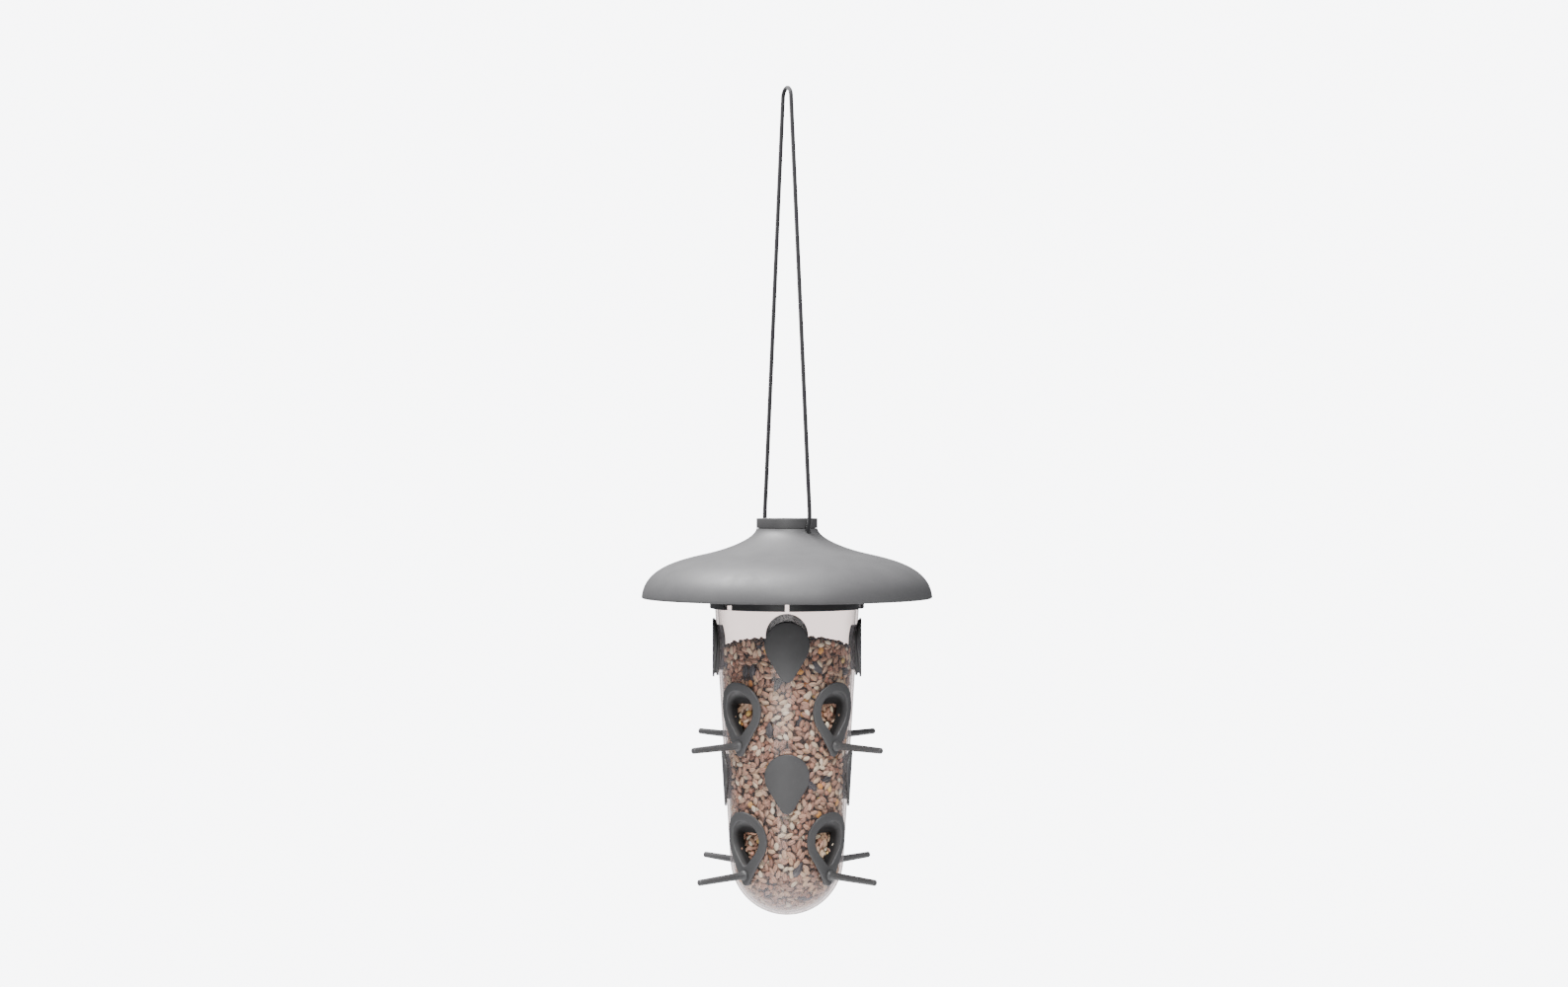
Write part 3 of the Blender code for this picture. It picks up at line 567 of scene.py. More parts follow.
def clear_plastic():
    """Clear moulded plastic, a little hazy, hazier where it is seen on edge and at its foot."""
    n = Nodes("clear_tube_plastic")
    n.tree.nodes.remove(n.shader)
    tint = n.ramp(n.noise(14.0, 3.0, 0.5), ((0.3, (0.955, 0.935, 0.93)), (0.7, (0.98, 0.968, 0.962))))
    through = n.add("ShaderNodeBsdfTransparent")
    n.link(tint, through.inputs["Color"])
    smear = n.span(n.noise(45.0, 5.0, 0.65), 0.05, 0.16, 0.3, 0.75)
    wave = n.bump(n.noise(22.0, 2.0, 0.4), 0.5 * MM, 0.3)
    gloss = n.add("ShaderNodeBsdfGlossy")
    gloss.inputs["Color"].default_value = (1, 1, 1, 1)
    n.link(smear, gloss.inputs["Roughness"])
    n.link(wave, gloss.inputs["Normal"])
    facing = n.add("ShaderNodeLayerWeight", Blend=0.5).outputs["Facing"]
    mirror = n.maths("ADD", n.maths("MULTIPLY", n.maths("POWER", facing, 5.0), 0.8), 0.03)
    shine = n.add("ShaderNodeMixShader")
    n.link(mirror, shine.inputs["Fac"])
    n.link(through.outputs["BSDF"], shine.inputs[1])
    n.link(gloss.outputs["BSDF"], shine.inputs[2])
    haze = n.add("ShaderNodeBsdfDiffuse")
    haze.inputs["Color"].default_value = (0.80, 0.72, 0.74, 1)
    veil = n.span(facing, 0.012, 0.16, 0.45, 1.0)
    scuffs = n.span(n.noise(160.0, 6.0, 0.75), 0.0, 0.03, 0.48, 0.8)
    split = n.add("ShaderNodeSeparateXYZ")
    n.link(n.add("ShaderNodeTexCoord").outputs["Object"], split.inputs[0])
    foot = n.span(split.outputs["Z"], 0.0, 0.17, FOOT_CENTRE_Z - 12 * MM, FOOT_CENTRE_Z - FOOT_RADIUS)
    whole = n.add("ShaderNodeMixShader")
    n.link(n.maths("ADD", n.maths("ADD", veil, scuffs), foot), whole.inputs["Fac"])
    n.link(shine.outputs["Shader"], whole.inputs[1])
    n.link(haze.outputs["BSDF"], whole.inputs[2])
    n.link(whole.outputs["Shader"], n.output.inputs["Surface"])
    return n.material


def cord_fibre():
    """Black braided fibre."""
    n = Nodes("cord_fibre")
    fibre = n.noise(1400.0, 4.0, 0.7, stretch=(1, 1, 0.35))
    shades = ((0.004, 0.004, 0.005), (0.016, 0.016, 0.018), (0.05, 0.05, 0.055))
    colour = n.ramp(fibre, zip((0.3, 0.62, 0.8), shades))
    n.shader.inputs["Sheen Weight"].default_value = 0.25
    n.shader.inputs["Sheen Roughness"].default_value = 0.4
    return n.surface(colour, n.span(fibre, 0.7, 0.95), n.bump(fibre, 0.15 * MM, 0.7))


def grain_skin(name, shades, roughness=0.5, streak=0.35, crease_painted_shade=0.0):
    """Seed coat: a tone for each grain and streaks along it, with painted shade in a dark line along the
    crease and on the grain's back and sides.
    """
    n = Nodes(name)
    steps = [(i / (len(shades) - 1), shade) for i, shade in enumerate(shades)]
    colour = n.ramp(n.attribute("tint"), steps)
    place = n.attribute("grain_at", "Vector")
    own = n.maths("MULTIPLY", n.attribute("tint"), 60.0)
    streaks = n.noise(1.6, 4.0, 0.6, source=place, stretch=(0.7, 4.0, 4.0), offset=own)
    colour = n.mix(n.span(streaks, 0.0, streak, 0.35, 0.7), colour, (0.16, 0.085, 0.05))
    split = n.add("ShaderNodeSeparateXYZ")
    n.link(place, split.inputs[0])
    drift = n.maths("ADD", split.outputs["Y"], n.maths("MULTIPLY", n.maths("SUBTRACT", streaks, 0.5), 0.8))
    # Painted shade: a dark line along the grain's middle for its crease, and a darker back and sides where
    # grains lie in each other's shade
    crease = n.span(n.maths("ABSOLUTE", drift), crease_painted_shade, 0.0, 0.04, 0.26)
    rim = n.span(split.outputs["Z"], 0.75, 0.0, -0.25, 0.35)
    colour = n.mix(n.maths("MAXIMUM", crease, rim), colour, (0.10, 0.05, 0.035))
    blush = n.noise(260.0, 3.0, 0.6)
    colour = n.mix(n.span(blush, 0.0, 0.35, 0.5, 0.8), colour, (0.80, 0.62, 0.44))
    normal = n.bump(streaks, 0.25 * MM, 0.5)
    return n.surface(colour, n.span(streaks, roughness, roughness + 0.2), normal)


def sunflower_skin():
    """A dark husk with pale stripes along it."""
    n = Nodes("sunflower_skin")
    place = n.attribute("grain_at", "Vector")
    split = n.add("ShaderNodeSeparateXYZ")
    n.link(place, split.inputs[0])
    wobble = n.noise(2.2, 2.0, 0.5, source=place)
    lane = n.maths("ADD", n.maths("MULTIPLY", split.outputs["Y"], 6.5), n.maths("MULTIPLY", wobble, 1.6))
    stripe = n.maths("SINE", n.maths("ADD", lane, n.maths("MULTIPLY", n.attribute("tint"), 6.0)), 0.0)
    base = n.ramp(n.attribute("tint"), ((0.0, (0.018, 0.019, 0.024)), (1.0, (0.06, 0.062, 0.075))))
    colour = n.mix(n.span(stripe, 0.0, 0.4, 0.6, 0.95), base, (0.20, 0.19, 0.18))
    return n.surface(colour, n.span(wobble, 0.38, 0.6), n.bump(stripe, 0.12 * MM, 0.5))


def painted_shade_core_skin():
    """Painted shade: dark brown lumps for the grains deep in the pile, behind the grains that show."""
    n = Nodes("seed_painted_shade_core")
    lumps = n.noise(230.0, 4.0, 0.65)
    colour = n.ramp(lumps, ((0.35, (0.07, 0.04, 0.03)), (0.62, (0.26, 0.16, 0.11))))
    return n.surface(colour, n.span(lumps, 0.8, 0.95), n.bump(lumps, 2.0 * MM, 0.8))


GREY_SHADES = ((0.069, 0.068, 0.070), (0.079, 0.078, 0.080), (0.093, 0.092, 0.094))
SLATE_SHADES = ((0.060, 0.059, 0.060), (0.073, 0.072, 0.073), (0.090, 0.088, 0.089))
DARK_SLATE_SHADES = ((0.048, 0.047, 0.048), (0.058, 0.057, 0.058), (0.072, 0.071, 0.072))
BLACK_SHADES = ((0.010, 0.010, 0.011), (0.015, 0.015, 0.016), (0.024, 0.024, 0.026))
WHEAT_SHADES = ((0.58, 0.31, 0.21), (0.80, 0.48, 0.33), (0.96, 0.68, 0.49))
RED_WHEAT_SHADES = ((0.40, 0.20, 0.14), (0.58, 0.32, 0.23), (0.76, 0.46, 0.34))
PALE_WHEAT_SHADES = ((0.78, 0.49, 0.31), (0.93, 0.68, 0.45), (0.98, 0.84, 0.63))
CREAM_SHADES = ((0.88, 0.72, 0.52), (0.95, 0.87, 0.70))
MAIZE_SHADES = ((0.70, 0.24, 0.06), (0.86, 0.42, 0.10), (0.92, 0.66, 0.22))
MILO_SHADES = ((0.40, 0.17, 0.11), (0.68, 0.35, 0.23))

GREY = moulded_plastic("roof_plastic", GREY_SHADES, 0.54)
SLATE = moulded_plastic("slate_plastic", SLATE_SHADES, 0.42)
# Slate with painted shade, for the ports' tunnels and the tops of the upright plates
PAINTED_SHADE_SLATE = moulded_plastic("painted_shade_plastic", SLATE_SHADES, 0.42, with_painted_shade=True)
DARK_SLATE = moulded_plastic("cap_plastic", DARK_SLATE_SHADES, 0.46)
BLACK = moulded_plastic("ring_plastic", BLACK_SHADES, 0.38)
CLEAR = clear_plastic()
CORD = cord_fibre()
SKINS = {
    "wheat": grain_skin("wheat_skin", WHEAT_SHADES, 0.5, 0.5, 0.6),
    "red_wheat": grain_skin("red_wheat_skin", RED_WHEAT_SHADES, 0.5, 0.5, 0.6),
    "pale_wheat": grain_skin("pale_wheat_skin", PALE_WHEAT_SHADES, 0.5, 0.4, 0.5),
    "cream": grain_skin("cream_skin", CREAM_SHADES, 0.5, 0.15),
    "maize": grain_skin("maize_skin", MAIZE_SHADES, 0.4, 0.2),
    "milo": grain_skin("milo_skin", MILO_SHADES, 0.4, 0.2),
    "sunflower": sunflower_skin(),
}
PAINTED_SHADE_CORE = painted_shade_core_skin()


# ---------------------------------------------------------------- cord


def smooth_route(points, step):
    """Points about step apart along a Catmull-Rom curve through the given ones."""
    fine = [points[0]]
    for i in range(len(points) - 1):
        a, b = points[max(i - 1, 0)], points[i]
        c, d = points[i + 1], points[min(i + 2, len(points) - 1)]
        for k in range(1, 41):
            t = k / 40
            pull = (c - a) * t + (2 * a - 5 * b + 4 * c - d) * t**2 + (3 * b - a - 3 * c + d) * t**3
            fine.append(b + pull / 2)
    lengths = [(q - p).length for p, q in zip(fine, fine[1:])]
    count = round(sum(lengths) / step)
    spacing = sum(lengths) / count
    route, walked = [fine[0]], 0.0
    for p, q, length in zip(fine, fine[1:], lengths):
        while len(route) < count and walked + length >= spacing * len(route):
            route.append(p.lerp(q, (spacing * len(route) - walked) / length))
        walked += length
    return route + [fine[-1]]


def cord_half():
    """The front strand's centre line from under the bridge up to the loop."""
    bend = [polar(radius, CORD_AZIMUTHS["front"], z) for radius, z in CORD_BEND]
    loop_start = polar(LOOP_RADIUS, LOOP_AZIMUTH, CORD_DIAMETER / 2 - LOOP_RADIUS)
    straight = [bend[-1].lerp(loop_start, i / 12) for i in range(1, 13)]
    return smooth_route(bend + straight, CORD_STEP)


def cord_top():
    """The half circle over the branch."""
    loop_z = CORD_DIAMETER / 2 - LOOP_RADIUS
    count = 36
    top = []
    for i in range(1, count):
        turn = math.pi * i / count
        side = polar(LOOP_RADIUS * math.cos(turn), LOOP_AZIMUTH, 0)
        top.append(side + Vector((0, 0, loop_z + LOOP_RADIUS * math.sin(turn))))
    return top


def braided(name, path, sides=16, strands=8):
    """A round cord whose surface is a plait of fine strands."""
    builder = bmesh.new()
    loops = []
    walked = 0.0
    normal = Vector((1, 0, 0))
    for i, point in enumerate(path):
        before, after = path[max(i - 1, 0)], path[min(i + 1, len(path) - 1)]
        along = (after - before).normalized()
        normal = (normal - along * normal.dot(along)).normalized()
        other = along.cross(normal)
        if i:
            walked += (point - path[i - 1]).length
        turn = 2 * math.pi * walked / (PLAIT_TURN * CORD_DIAMETER)
        loop = []
        for k in range(sides):
            a = 2 * math.pi * k / sides
            plait = math.cos(strands / 2 * (a - turn)) * math.cos(strands / 2 * (a + turn))
            radius = CORD_DIAMETER / 2 * (1 + PLAIT_DEPTH * plait)
            loop.append(point + radius * (math.cos(a) * normal + math.sin(a) * other))
        loops.append(loop)
    add_loops(builder, loops)
    return from_builder(name, builder, CORD, 80)


def mirrored(points):
    """Points on the other side of the axis."""
    return [Vector((-p.x, -p.y, p.z)) for p in points]


def make_knots():
    """Each end is tied in a trefoil under the bridge."""
    count, sides = 160, 12
    knots = {}
    for name, azimuth in CORD_AZIMUTHS.items():
        centre = polar(CORD_BRIDGE_RADIUS, azimuth, bridge_low[2] - KNOT_DROP)
        path = []
        for i in range(count):
            t = 2 * math.pi * i / count
            x = math.sin(t) + 2 * math.sin(2 * t)
            y = math.cos(t) - 2 * math.cos(2 * t)
            path.append(centre + Vector((x, y, -1.5 * math.sin(3 * t))) * KNOT_SCALE)
        turns = [2 * math.pi * k / sides for k in range(sides)]
        loops = []
        for i, point in enumerate(path):
            along = (path[(i + 1) % count] - path[i - 1]).normalized()
            side = along.cross((point - centre).normalized()).normalized() * KNOT_STRAND_RADIUS
            up = side.cross(along)
            loops.append([point + math.cos(a) * side + math.sin(a) * up for a in turns])
        builder = bmesh.new()
        add_loops(builder, loops, closed=True)
        knots[name] = from_builder(f"knot_{name}", builder, CORD, 80)
        stands_for(knots[name], "feeder", "cord", f"cord_knot_{name}")
    return knots


def declare_strand(strand, path, still_z, lifted_z, **others):
    """Bakes a stretch of the cord's placing into its mesh and hides the cord node. The path, the heights
    and the other pieces are not used.
    """
    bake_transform(strand)
    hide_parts("hanging_cord")


def make_cords(knots):
    """The loop above the roof's holes, and the two legs below them."""
    half = cord_half()
    split_z = CORD_HOLE_Z - SPLIT_DROP
    upper = [p for p in half if p.z > split_z]
    lower = [p for p in half if p.z <= split_z + SPLIT_OVERLAP]
    route = upper + cord_top() + mirrored(list(reversed(upper)))
    declare_strand(braided("cord_loop", route), route, 0, CORD_HOLE_Z)
    for side, leg in (("front", lower), ("back", mirrored(lower))):
        strand = braided(f"cord_leg_{side}", leg)
        declare_strand(strand, leg, bridge_high[2], split_z, with_pieces=[knots[side]])


make_cords(make_knots())


# ---------------------------------------------------------------- roof, collar, ring and bridge


def roof_outline():
    """The roof's outer side from the collar's foot to the brim, as (radius, z)."""
    foot = (COLLAR_RADIUS, COLLAR_FOOT_Z)
    neck = (COLLAR_RADIUS + NECK_HANDLE[0], COLLAR_FOOT_Z - NECK_HANDLE[1])
    shoulder = (SHOULDER_RADIUS, COLLAR_TOP_Z - SHOULDER_DROP)
    inward, outward = [
        (shoulder[0] + run, shoulder[1] - run * SHOULDER_FALL)
        for run in (-SHOULDER_HANDLES[0], SHOULDER_HANDLES[1])
    ]
    brim = (ROOF_RADIUS, BRIM_Z + BRIM_ROUNDING)
    above_brim = (ROOF_RADIUS - BRIM_HANDLE[0], brim[1] + BRIM_HANDLE[1])
    upper = cubic(foot, neck, inward, shoulder, 28)
    return [foot] + upper + cubic(shoulder, outward, above_brim, brim, 44)


def inside_of(outline, wall):
    """A profile moved in by a wall."""
    moved = []
    for i, (r, z) in enumerate(outline):
        before, after = outline[max(i - 1, 0)], outline[min(i + 1, len(outline) - 1)]
        along = Vector((after[0] - before[0], after[1] - before[1])).normalized()
        moved.append((r + along.y * wall, z - along.x * wall))
    return moved


def add_cord_holes(builder):
    """Cutters for the cord's two holes through the collar and the roof."""
    for azimuth in CORD_AZIMUTHS.values():
        top, bottom = [polar(radius, azimuth, z) for radius, z in CORD_HOLE_ENDS]
        way = bottom - top
        add_drill(builder, top, way.normalized(), (-3 * MM, way.length + 3 * MM), CORD_HOLE_RADIUS)


def height_at(outline, radius):
    """The outline's height where it passes a radius."""
    for (r0, z0), (r1, z1) in zip(outline, outline[1:]):
        if r0 <= radius <= r1:
            return z0 + (z1 - z0) * (radius - r0) / (r1 - r0)


def make_roof():
    """The shell with its rounded brim, and inside it the skirt and lip that sit on the ring."""
    outer = roof_outline()
    inner = inside_of(outer, ROOF_WALL)
    lip_outer = RING_MOUTH_RADIUS - GAP
    rest_z = ring_high[2] + GAP
    lip_z = rest_z - ROOF_LIP_DEPTH
    hole = SPIGOT_RADIUS + GAP
    brim = outer[-1]
    inner_brim = inner[-1][0] + 0.1 * MM
    half_brim = (brim[0] - inner_brim) / 2
    round_brim = arc(((brim[0] + inner_brim) / 2, brim[1]), half_brim, -12, -168, 10)
    profile = outer + [(x, brim[1] + (z - brim[1]) * BRIM_ROUNDING / half_brim) for x, z in round_brim]
    profile += [p for p in reversed(inner) if p[0] > ROOF_SKIRT_RADIUS and p[1] > brim[1] + 0.1 * MM]
    profile += [(ROOF_SKIRT_RADIUS, height_at(inner, ROOF_SKIRT_RADIUS)), (ROOF_SKIRT_RADIUS, rest_z)]
    profile += [(lip_outer, rest_z), (lip_outer, lip_z), (ROOF_LIP_RADIUS, lip_z)]
    profile += [(ROOF_LIP_RADIUS, height_at(inner, ROOF_LIP_RADIUS))]
    profile += [p for p in reversed(inner) if COLLAR_RADIUS < p[0] < ROOF_LIP_RADIUS]
    land_z = COLLAR_FOOT_Z
    profile += [(COLLAR_RADIUS - ROOF_WALL, land_z - ROOF_WALL), (hole, land_z - ROOF_WALL), (hole, land_z)]
    roof = turned("roof_shell", profile, GREY, segments=192)
    holes = bmesh.new()
    add_cord_holes(holes)
    cut(roof, holes)
    stands_for(roof, "roof", "roof_plastic", "roof")


def make_collar():
    """A cap with a shallow dish in its top and a hollow spigot in the roof's hole."""
    foot_z = COLLAR_FOOT_Z + GAP
    bore = SPIGOT_RADIUS - ROOF_WALL
    ceiling_z = COLLAR_TOP_Z - ROOF_WALL - 1.0 * MM
    edge, low_edge = COLLAR_EDGE, COLLAR_EDGE * 0.6
    dish_start, dish_end, dish_depth = COLLAR_DISH
    profile = [(0.0, COLLAR_TOP_Z - dish_depth), (COLLAR_RADIUS - dish_end, COLLAR_TOP_Z - dish_depth)]
    profile += [(COLLAR_RADIUS - dish_start, COLLAR_TOP_Z)]
    profile += arc((COLLAR_RADIUS - edge, COLLAR_TOP_Z - edge), edge, 90, 0, 5)
    profile += arc((COLLAR_RADIUS - low_edge, foot_z + low_edge), low_edge, 0, -90, 4)
    profile += [(SPIGOT_RADIUS, foot_z), (SPIGOT_RADIUS, foot_z - SPIGOT_DEPTH)]
    profile += [(bore, foot_z - SPIGOT_DEPTH), (bore, ceiling_z), (0.0, ceiling_z)]
    collar = turned("roof_cap", profile, DARK_SLATE, segments=128, closed=False)
    holes = bmesh.new()
    add_cord_holes(holes)
    cut(collar, holes)
    stands_for(collar, "roof", "fitting_plastic", "roof_collar")


def make_ring():
    """A channel over the tube's mouth, with slots for the tube's lugs and notches for the bridge."""
    edge = RING_EDGE
    bottom, top = ring_low[2], ring_high[2]
    skirt_outer = RING_MOUTH_RADIUS + RING_SKIRT_WALL
    channel_z = TUBE_TOP_Z + GAP
    profile = [(cone_radius(bottom) + GAP, bottom)]
    profile += arc((RING_RADIUS - edge, bottom + edge), edge, -90, 0, 5)
    profile += arc((RING_RADIUS - edge, top - edge), edge, 0, 90, 5)
    profile += arc((RING_MOUTH_RADIUS + edge, top - edge), edge, 90, 180, 4)
    profile += [(RING_MOUTH_RADIUS, RING_SKIRT_Z), (skirt_outer, RING_SKIRT_Z), (skirt_outer, channel_z)]
    profile += [(cone_radius(channel_z) + GAP, channel_z)]
    ring = turned("mouth_ring", profile, BLACK, segments=160)
    builder = bmesh.new()
    slots = [(azimuth, LUG_SLOT_WIDTH) for azimuth in LUG_SLOT_AZIMUTHS] + [(0, KEY_SLOT_WIDTH)]
    for azimuth, width in slots:
        add_loops(builder, box_loops(azimuth, width, *RING_SLOT_SPAN, bottom - 1 * MM, RING_SLOT_TOP_Z))
    width, reach = BRIDGE_NOTCH
    low_z, high_z = RING_SKIRT_Z - 1 * MM, bridge_high[2] + GAP
    add_loops(builder, box_loops(CORD_AZIMUTHS["front"], width, -reach, reach, low_z, high_z))
    cut(ring, builder)
    stands_for(ring, "feeder", "ring_plastic", "rim_ring")


def make_bridge():
    """A bar with rounded edges and ends, and a hole for each strand."""
    low, high = bridge_low[2], bridge_high[2]
    end_start, end_reach = BRIDGE_END
    outwards = polar(1, CORD_AZIMUTHS["front"], 0)
    across = Vector((-outwards.y, outwards.x, 0))
    edge = BRIDGE_EDGE
    loops = []
    for inset, z in ((edge, low), (0.0, low + edge), (0.0, high - edge), (edge, high)):
        loop = []
        for end in (-1, 1):
            for k in range(13):
                a = math.pi * (k / 12 - 0.5)
                along = end_start + (end_reach - inset) * math.cos(a)
                side = (BRIDGE_HALF_WIDTH - inset) * math.sin(a)
                loop.append(outwards * along * end + across * side * end + Vector((0, 0, z)))
        loops.append(loop)
    builder = bmesh.new()
    add_loops(builder, loops)
    bar = from_builder("mouth_bridge", builder, BLACK)
    holes = bmesh.new()
    for azimuth in CORD_AZIMUTHS.values():
        foot = polar(CORD_BRIDGE_RADIUS, azimuth, low)
        add_drill(holes, foot, Vector((0, 0, 1)), (-2 * MM, 6 * MM), BRIDGE_HOLE_RADIUS)
    cut(bar, holes)
    stands_for(bar, "feeder", "ring_plastic", "cord_bridge")


make_roof()
make_collar()
make_ring()
make_bridge()


# ---------------------------------------------------------------- tube


def vessel_profile(inset, top_z, steps):
    """The tube's side and foot from its top to the axis, moved inwards by inset."""
    shift = inset / math.cos(TAPER)
    straight = 24
    points = []
    for i in range(straight):
        z = top_z + (FOOT_START_Z - top_z) * i / straight
        points.append((cone_radius(z) - shift, z))
    radius = FOOT_RADIUS - inset
    for i in range(steps + 1):
        turn = TAPER + (math.pi / 2 - TAPER) * i / steps
        points.append((radius * math.cos(turn), FOOT_CENTRE_Z - radius * math.sin(turn)))
    points[-1] = (0.0, FOOT_CENTRE_Z - radius)
    return points


def add_wall_prism(builder, outline, top_z, azimuth, reference):
    """A cutter through the tube's wall in the shape of an outline."""
    loops, centres = [], []
    middle_z = top_z + min(down for _, down in outline) / 2
    for distance in (-5 * MM, 5 * MM):
        loops.append(wrapped(outline, top_z, azimuth, raised(distance), reference))
        centres.append(polar(cone_radius(middle_z) + distance, azimuth, middle_z))
    add_loops(builder, loops, False, centres)


def make_tube():
    """The clear vessel with its lugs, the ports', perches' and plugs' holes, and its drains."""
    outer = vessel_profile(0.0, TUBE_TOP_Z, 18)
    inner = vessel_profile(TUBE_WALL, TUBE_TOP_Z, 18)
    tube = turned("clear_tube", list(reversed(inner)) + outer, CLEAR, segments=128, closed=False)
    lugs = bmesh.new()
    inside = cone_radius(ring_low[2]) - TUBE_WALL / 2
    low_z, high_z = ring_low[2] + GAP, RING_SLOT_TOP_Z - GAP
    for azimuth in LUG_SLOT_AZIMUTHS:
        add_loops(lugs, box_loops(azimuth, LUG_SLOT_WIDTH - 2 * GAP, inside, LUG_REACH, low_z, high_z))
    cut(tube, lugs, "UNION")
    holes = bmesh.new()
    for row in ROWS:
        for azimuth in PORT_AZIMUTHS.values():
            outline = teardrop(OPENING_SIZE, TUNNEL_WALL + HOLE_CLEARANCE, 20, 5, 8)
            opening_z = PORT_TOP_Z[row] - OPENING_BELOW_TOP
            add_wall_prism(holes, outline, opening_z, azimuth, port_reference(row))
            centre = polar(tube_radius(PERCH_Z[row]), azimuth, PERCH_Z[row])
            add_drill(holes, centre, polar(1, azimuth, 0), (-6 * MM, 5 * MM), PERCH_SOCKET_RADIUS, 20)
        for azimuth in PLUG_AZIMUTHS.values():
            outline = teardrop(PLUG_SIZE, HOLE_CLEARANCE - PLUG_NECK_INSET, 20, 5, 8)
            add_wall_prism(holes, outline, PLUG_TOP_Z[row], azimuth, plug_reference(row))
    for i in range(DRAINS):
        centre = polar(DRAIN_CIRCLE_RADIUS, 360 / DRAINS * i, FOOT_CENTRE_Z - FOOT_RADIUS)
        add_drill(holes, centre, Vector((0, 0, 1)), (-3 * MM, 9 * MM), DRAIN_RADIUS, 24)
    cut(tube, holes)
    stands_for(tube, "feeder", "clear_plastic", "tube")


make_tube()


# ---------------------------------------------------------------- ports, perches and plugs


def rounding(radius, steps=5):
    """A quarter round as (inset, drop) pairs, from the side up to the face."""
    turns = [math.pi / 2 * i / steps for i in range(steps + 1)]
    return [(radius * (1 - math.cos(a)), radius * (1 - math.sin(a))) for a in turns]


def add_painted_shade(piece, share):
    """Gives each point of a piece its part of the full painted shade."""
    shades = [min(1.0, max(0.0, share(vertex.co))) for vertex in piece.data.vertices]
    layer = piece.data.attributes.new("shade", "FLOAT", "POINT")
    layer.data.foreach_set("value", np.array(shades, dtype=np.float32))


def make_port(row, side):
    """A flange round the opening, and behind it the tunnel whose top comes down as a hood."""
    azimuth = PORT_AZIMUTHS[side]
    top_z = PORT_TOP_Z[row]
    opening_z = top_z - OPENING_BELOW_TOP
    reference = port_reference(row)

    def around(outline, start_z, radius_at):
        return wrapped(outline, start_z, azimuth, radius_at, reference)

    loops = [around(teardrop(PORT_SIZE), top_z, seat_radius)]
    for inset, drop in rounding(PORT_EDGE):
        loops.append(around(teardrop(PORT_SIZE, -inset), top_z, raised(PORT_FACE - drop)))
    for inset, drop in reversed(rounding(OPENING_LIP)):
        loops.append(around(teardrop(OPENING_SIZE, inset), opening_z, raised(PORT_FACE - drop)))
    start = PORT_FACE - OPENING_LIP
    steps = 6
    for i in range(1, steps + 1):
        share = i / steps
        level = start + (-TUNNEL_DEPTH - start) * share
        loops.append(around(hooded(teardrop(OPENING_SIZE), 0.0, share), opening_z, raised(level)))
    for offset, back in TUNNEL_END:
        outline = hooded(teardrop(OPENING_SIZE, offset * MM), offset * MM, 1.0)
        loops.append(around(outline, opening_z, raised(-TUNNEL_DEPTH - back * MM)))
    outside = teardrop(OPENING_SIZE, TUNNEL_WALL)
    for share in (0.66, 0.33):
        loops.append(around(hooded(outside, TUNNEL_WALL, share), opening_z, raised(-TUNNEL_DEPTH * share)))
    loops.append(around(outside, opening_z, seat_radius))
    builder = bmesh.new()
    add_loops(builder, loops, closed=True)
    port = from_builder(f"flange_{row}_{side}", builder, PAINTED_SHADE_SLATE, 40)
    socket = bmesh.new()
    centre = polar(tube_radius(PERCH_Z[row]), azimuth, PERCH_Z[row])
    add_drill(socket, centre, polar(1, azimuth, 0), (-4 * MM, 8 * MM), PERCH_SOCKET_RADIUS, 24)
    cut(port, socket)
    # Painted shade: the tunnel darkens the deeper it goes behind the seat, standing for the shade inside it
    add_painted_shade(port, lambda place: (seat_radius(place.z) - math.hypot(place.x, place.y)) / TUNNEL_DEPTH)
    stands_for(port, "feeder", "fitting_plastic", f"port_{row}_{side}")


def make_perch(row, side):
    """A tapered rod with a boss against the flange and a spigot through it."""
    azimuth = PORT_AZIMUTHS[side]
    z = PERCH_Z[row]
    spigot_end = tube_radius(z) - PERCH_SPIGOT_DEPTH
    boss = cone_radius(z) + PORT_FACE + GAP + PERCH_BOSS_RADIUS * math.tan(TAPER)
    tip = cone_radius(z) + PERCH_REACH
    fillet_start, fillet_height, fillet_width = PERCH_FILLET
    nose_length, nose_inset = PERCH_NOSE
    chamfer = 0.4 * MM
    quarter = [math.pi / 2 * i / 5 for i in range(6)]
    stations = [(spigot_end, PERCH_SPIGOT_RADIUS - chamfer), (spigot_end + chamfer, PERCH_SPIGOT_RADIUS)]
    stations += [(boss, PERCH_SPIGOT_RADIUS)]
    stations += [(boss + height * MM, radius * MM) for height, radius in PERCH_BOSS]
    for a in quarter:
        width = fillet_width * (1 - math.sin(a))
        stations.append((boss + fillet_start + fillet_height * math.sin(a), PERCH_ROOT_RADIUS + width))
    shaft_start, shaft_end = boss + fillet_start + fillet_height, tip - nose_length
    for i in range(1, 5):
        share = i / 5
        radius = PERCH_ROOT_RADIUS + (PERCH_TIP_RADIUS - PERCH_ROOT_RADIUS) * share
        stations.append((shaft_start + (shaft_end - shaft_start) * share, radius))
    for a in quarter:
        inset = nose_inset * (1 - math.cos(a))
        stations.append((tip - nose_length * (1 - math.sin(a)), PERCH_TIP_RADIUS - inset))
    loops = rod_loops(Vector((0, 0, z)), polar(1, azimuth, 0), stations, 28)
    builder = bmesh.new()
    add_loops(builder, loops)
    rod = from_builder(f"rod_{row}_{side}", builder, SLATE, 45)
    stands_for(rod, "feeder", "fitting_plastic", f"perch_{row}_{side}")


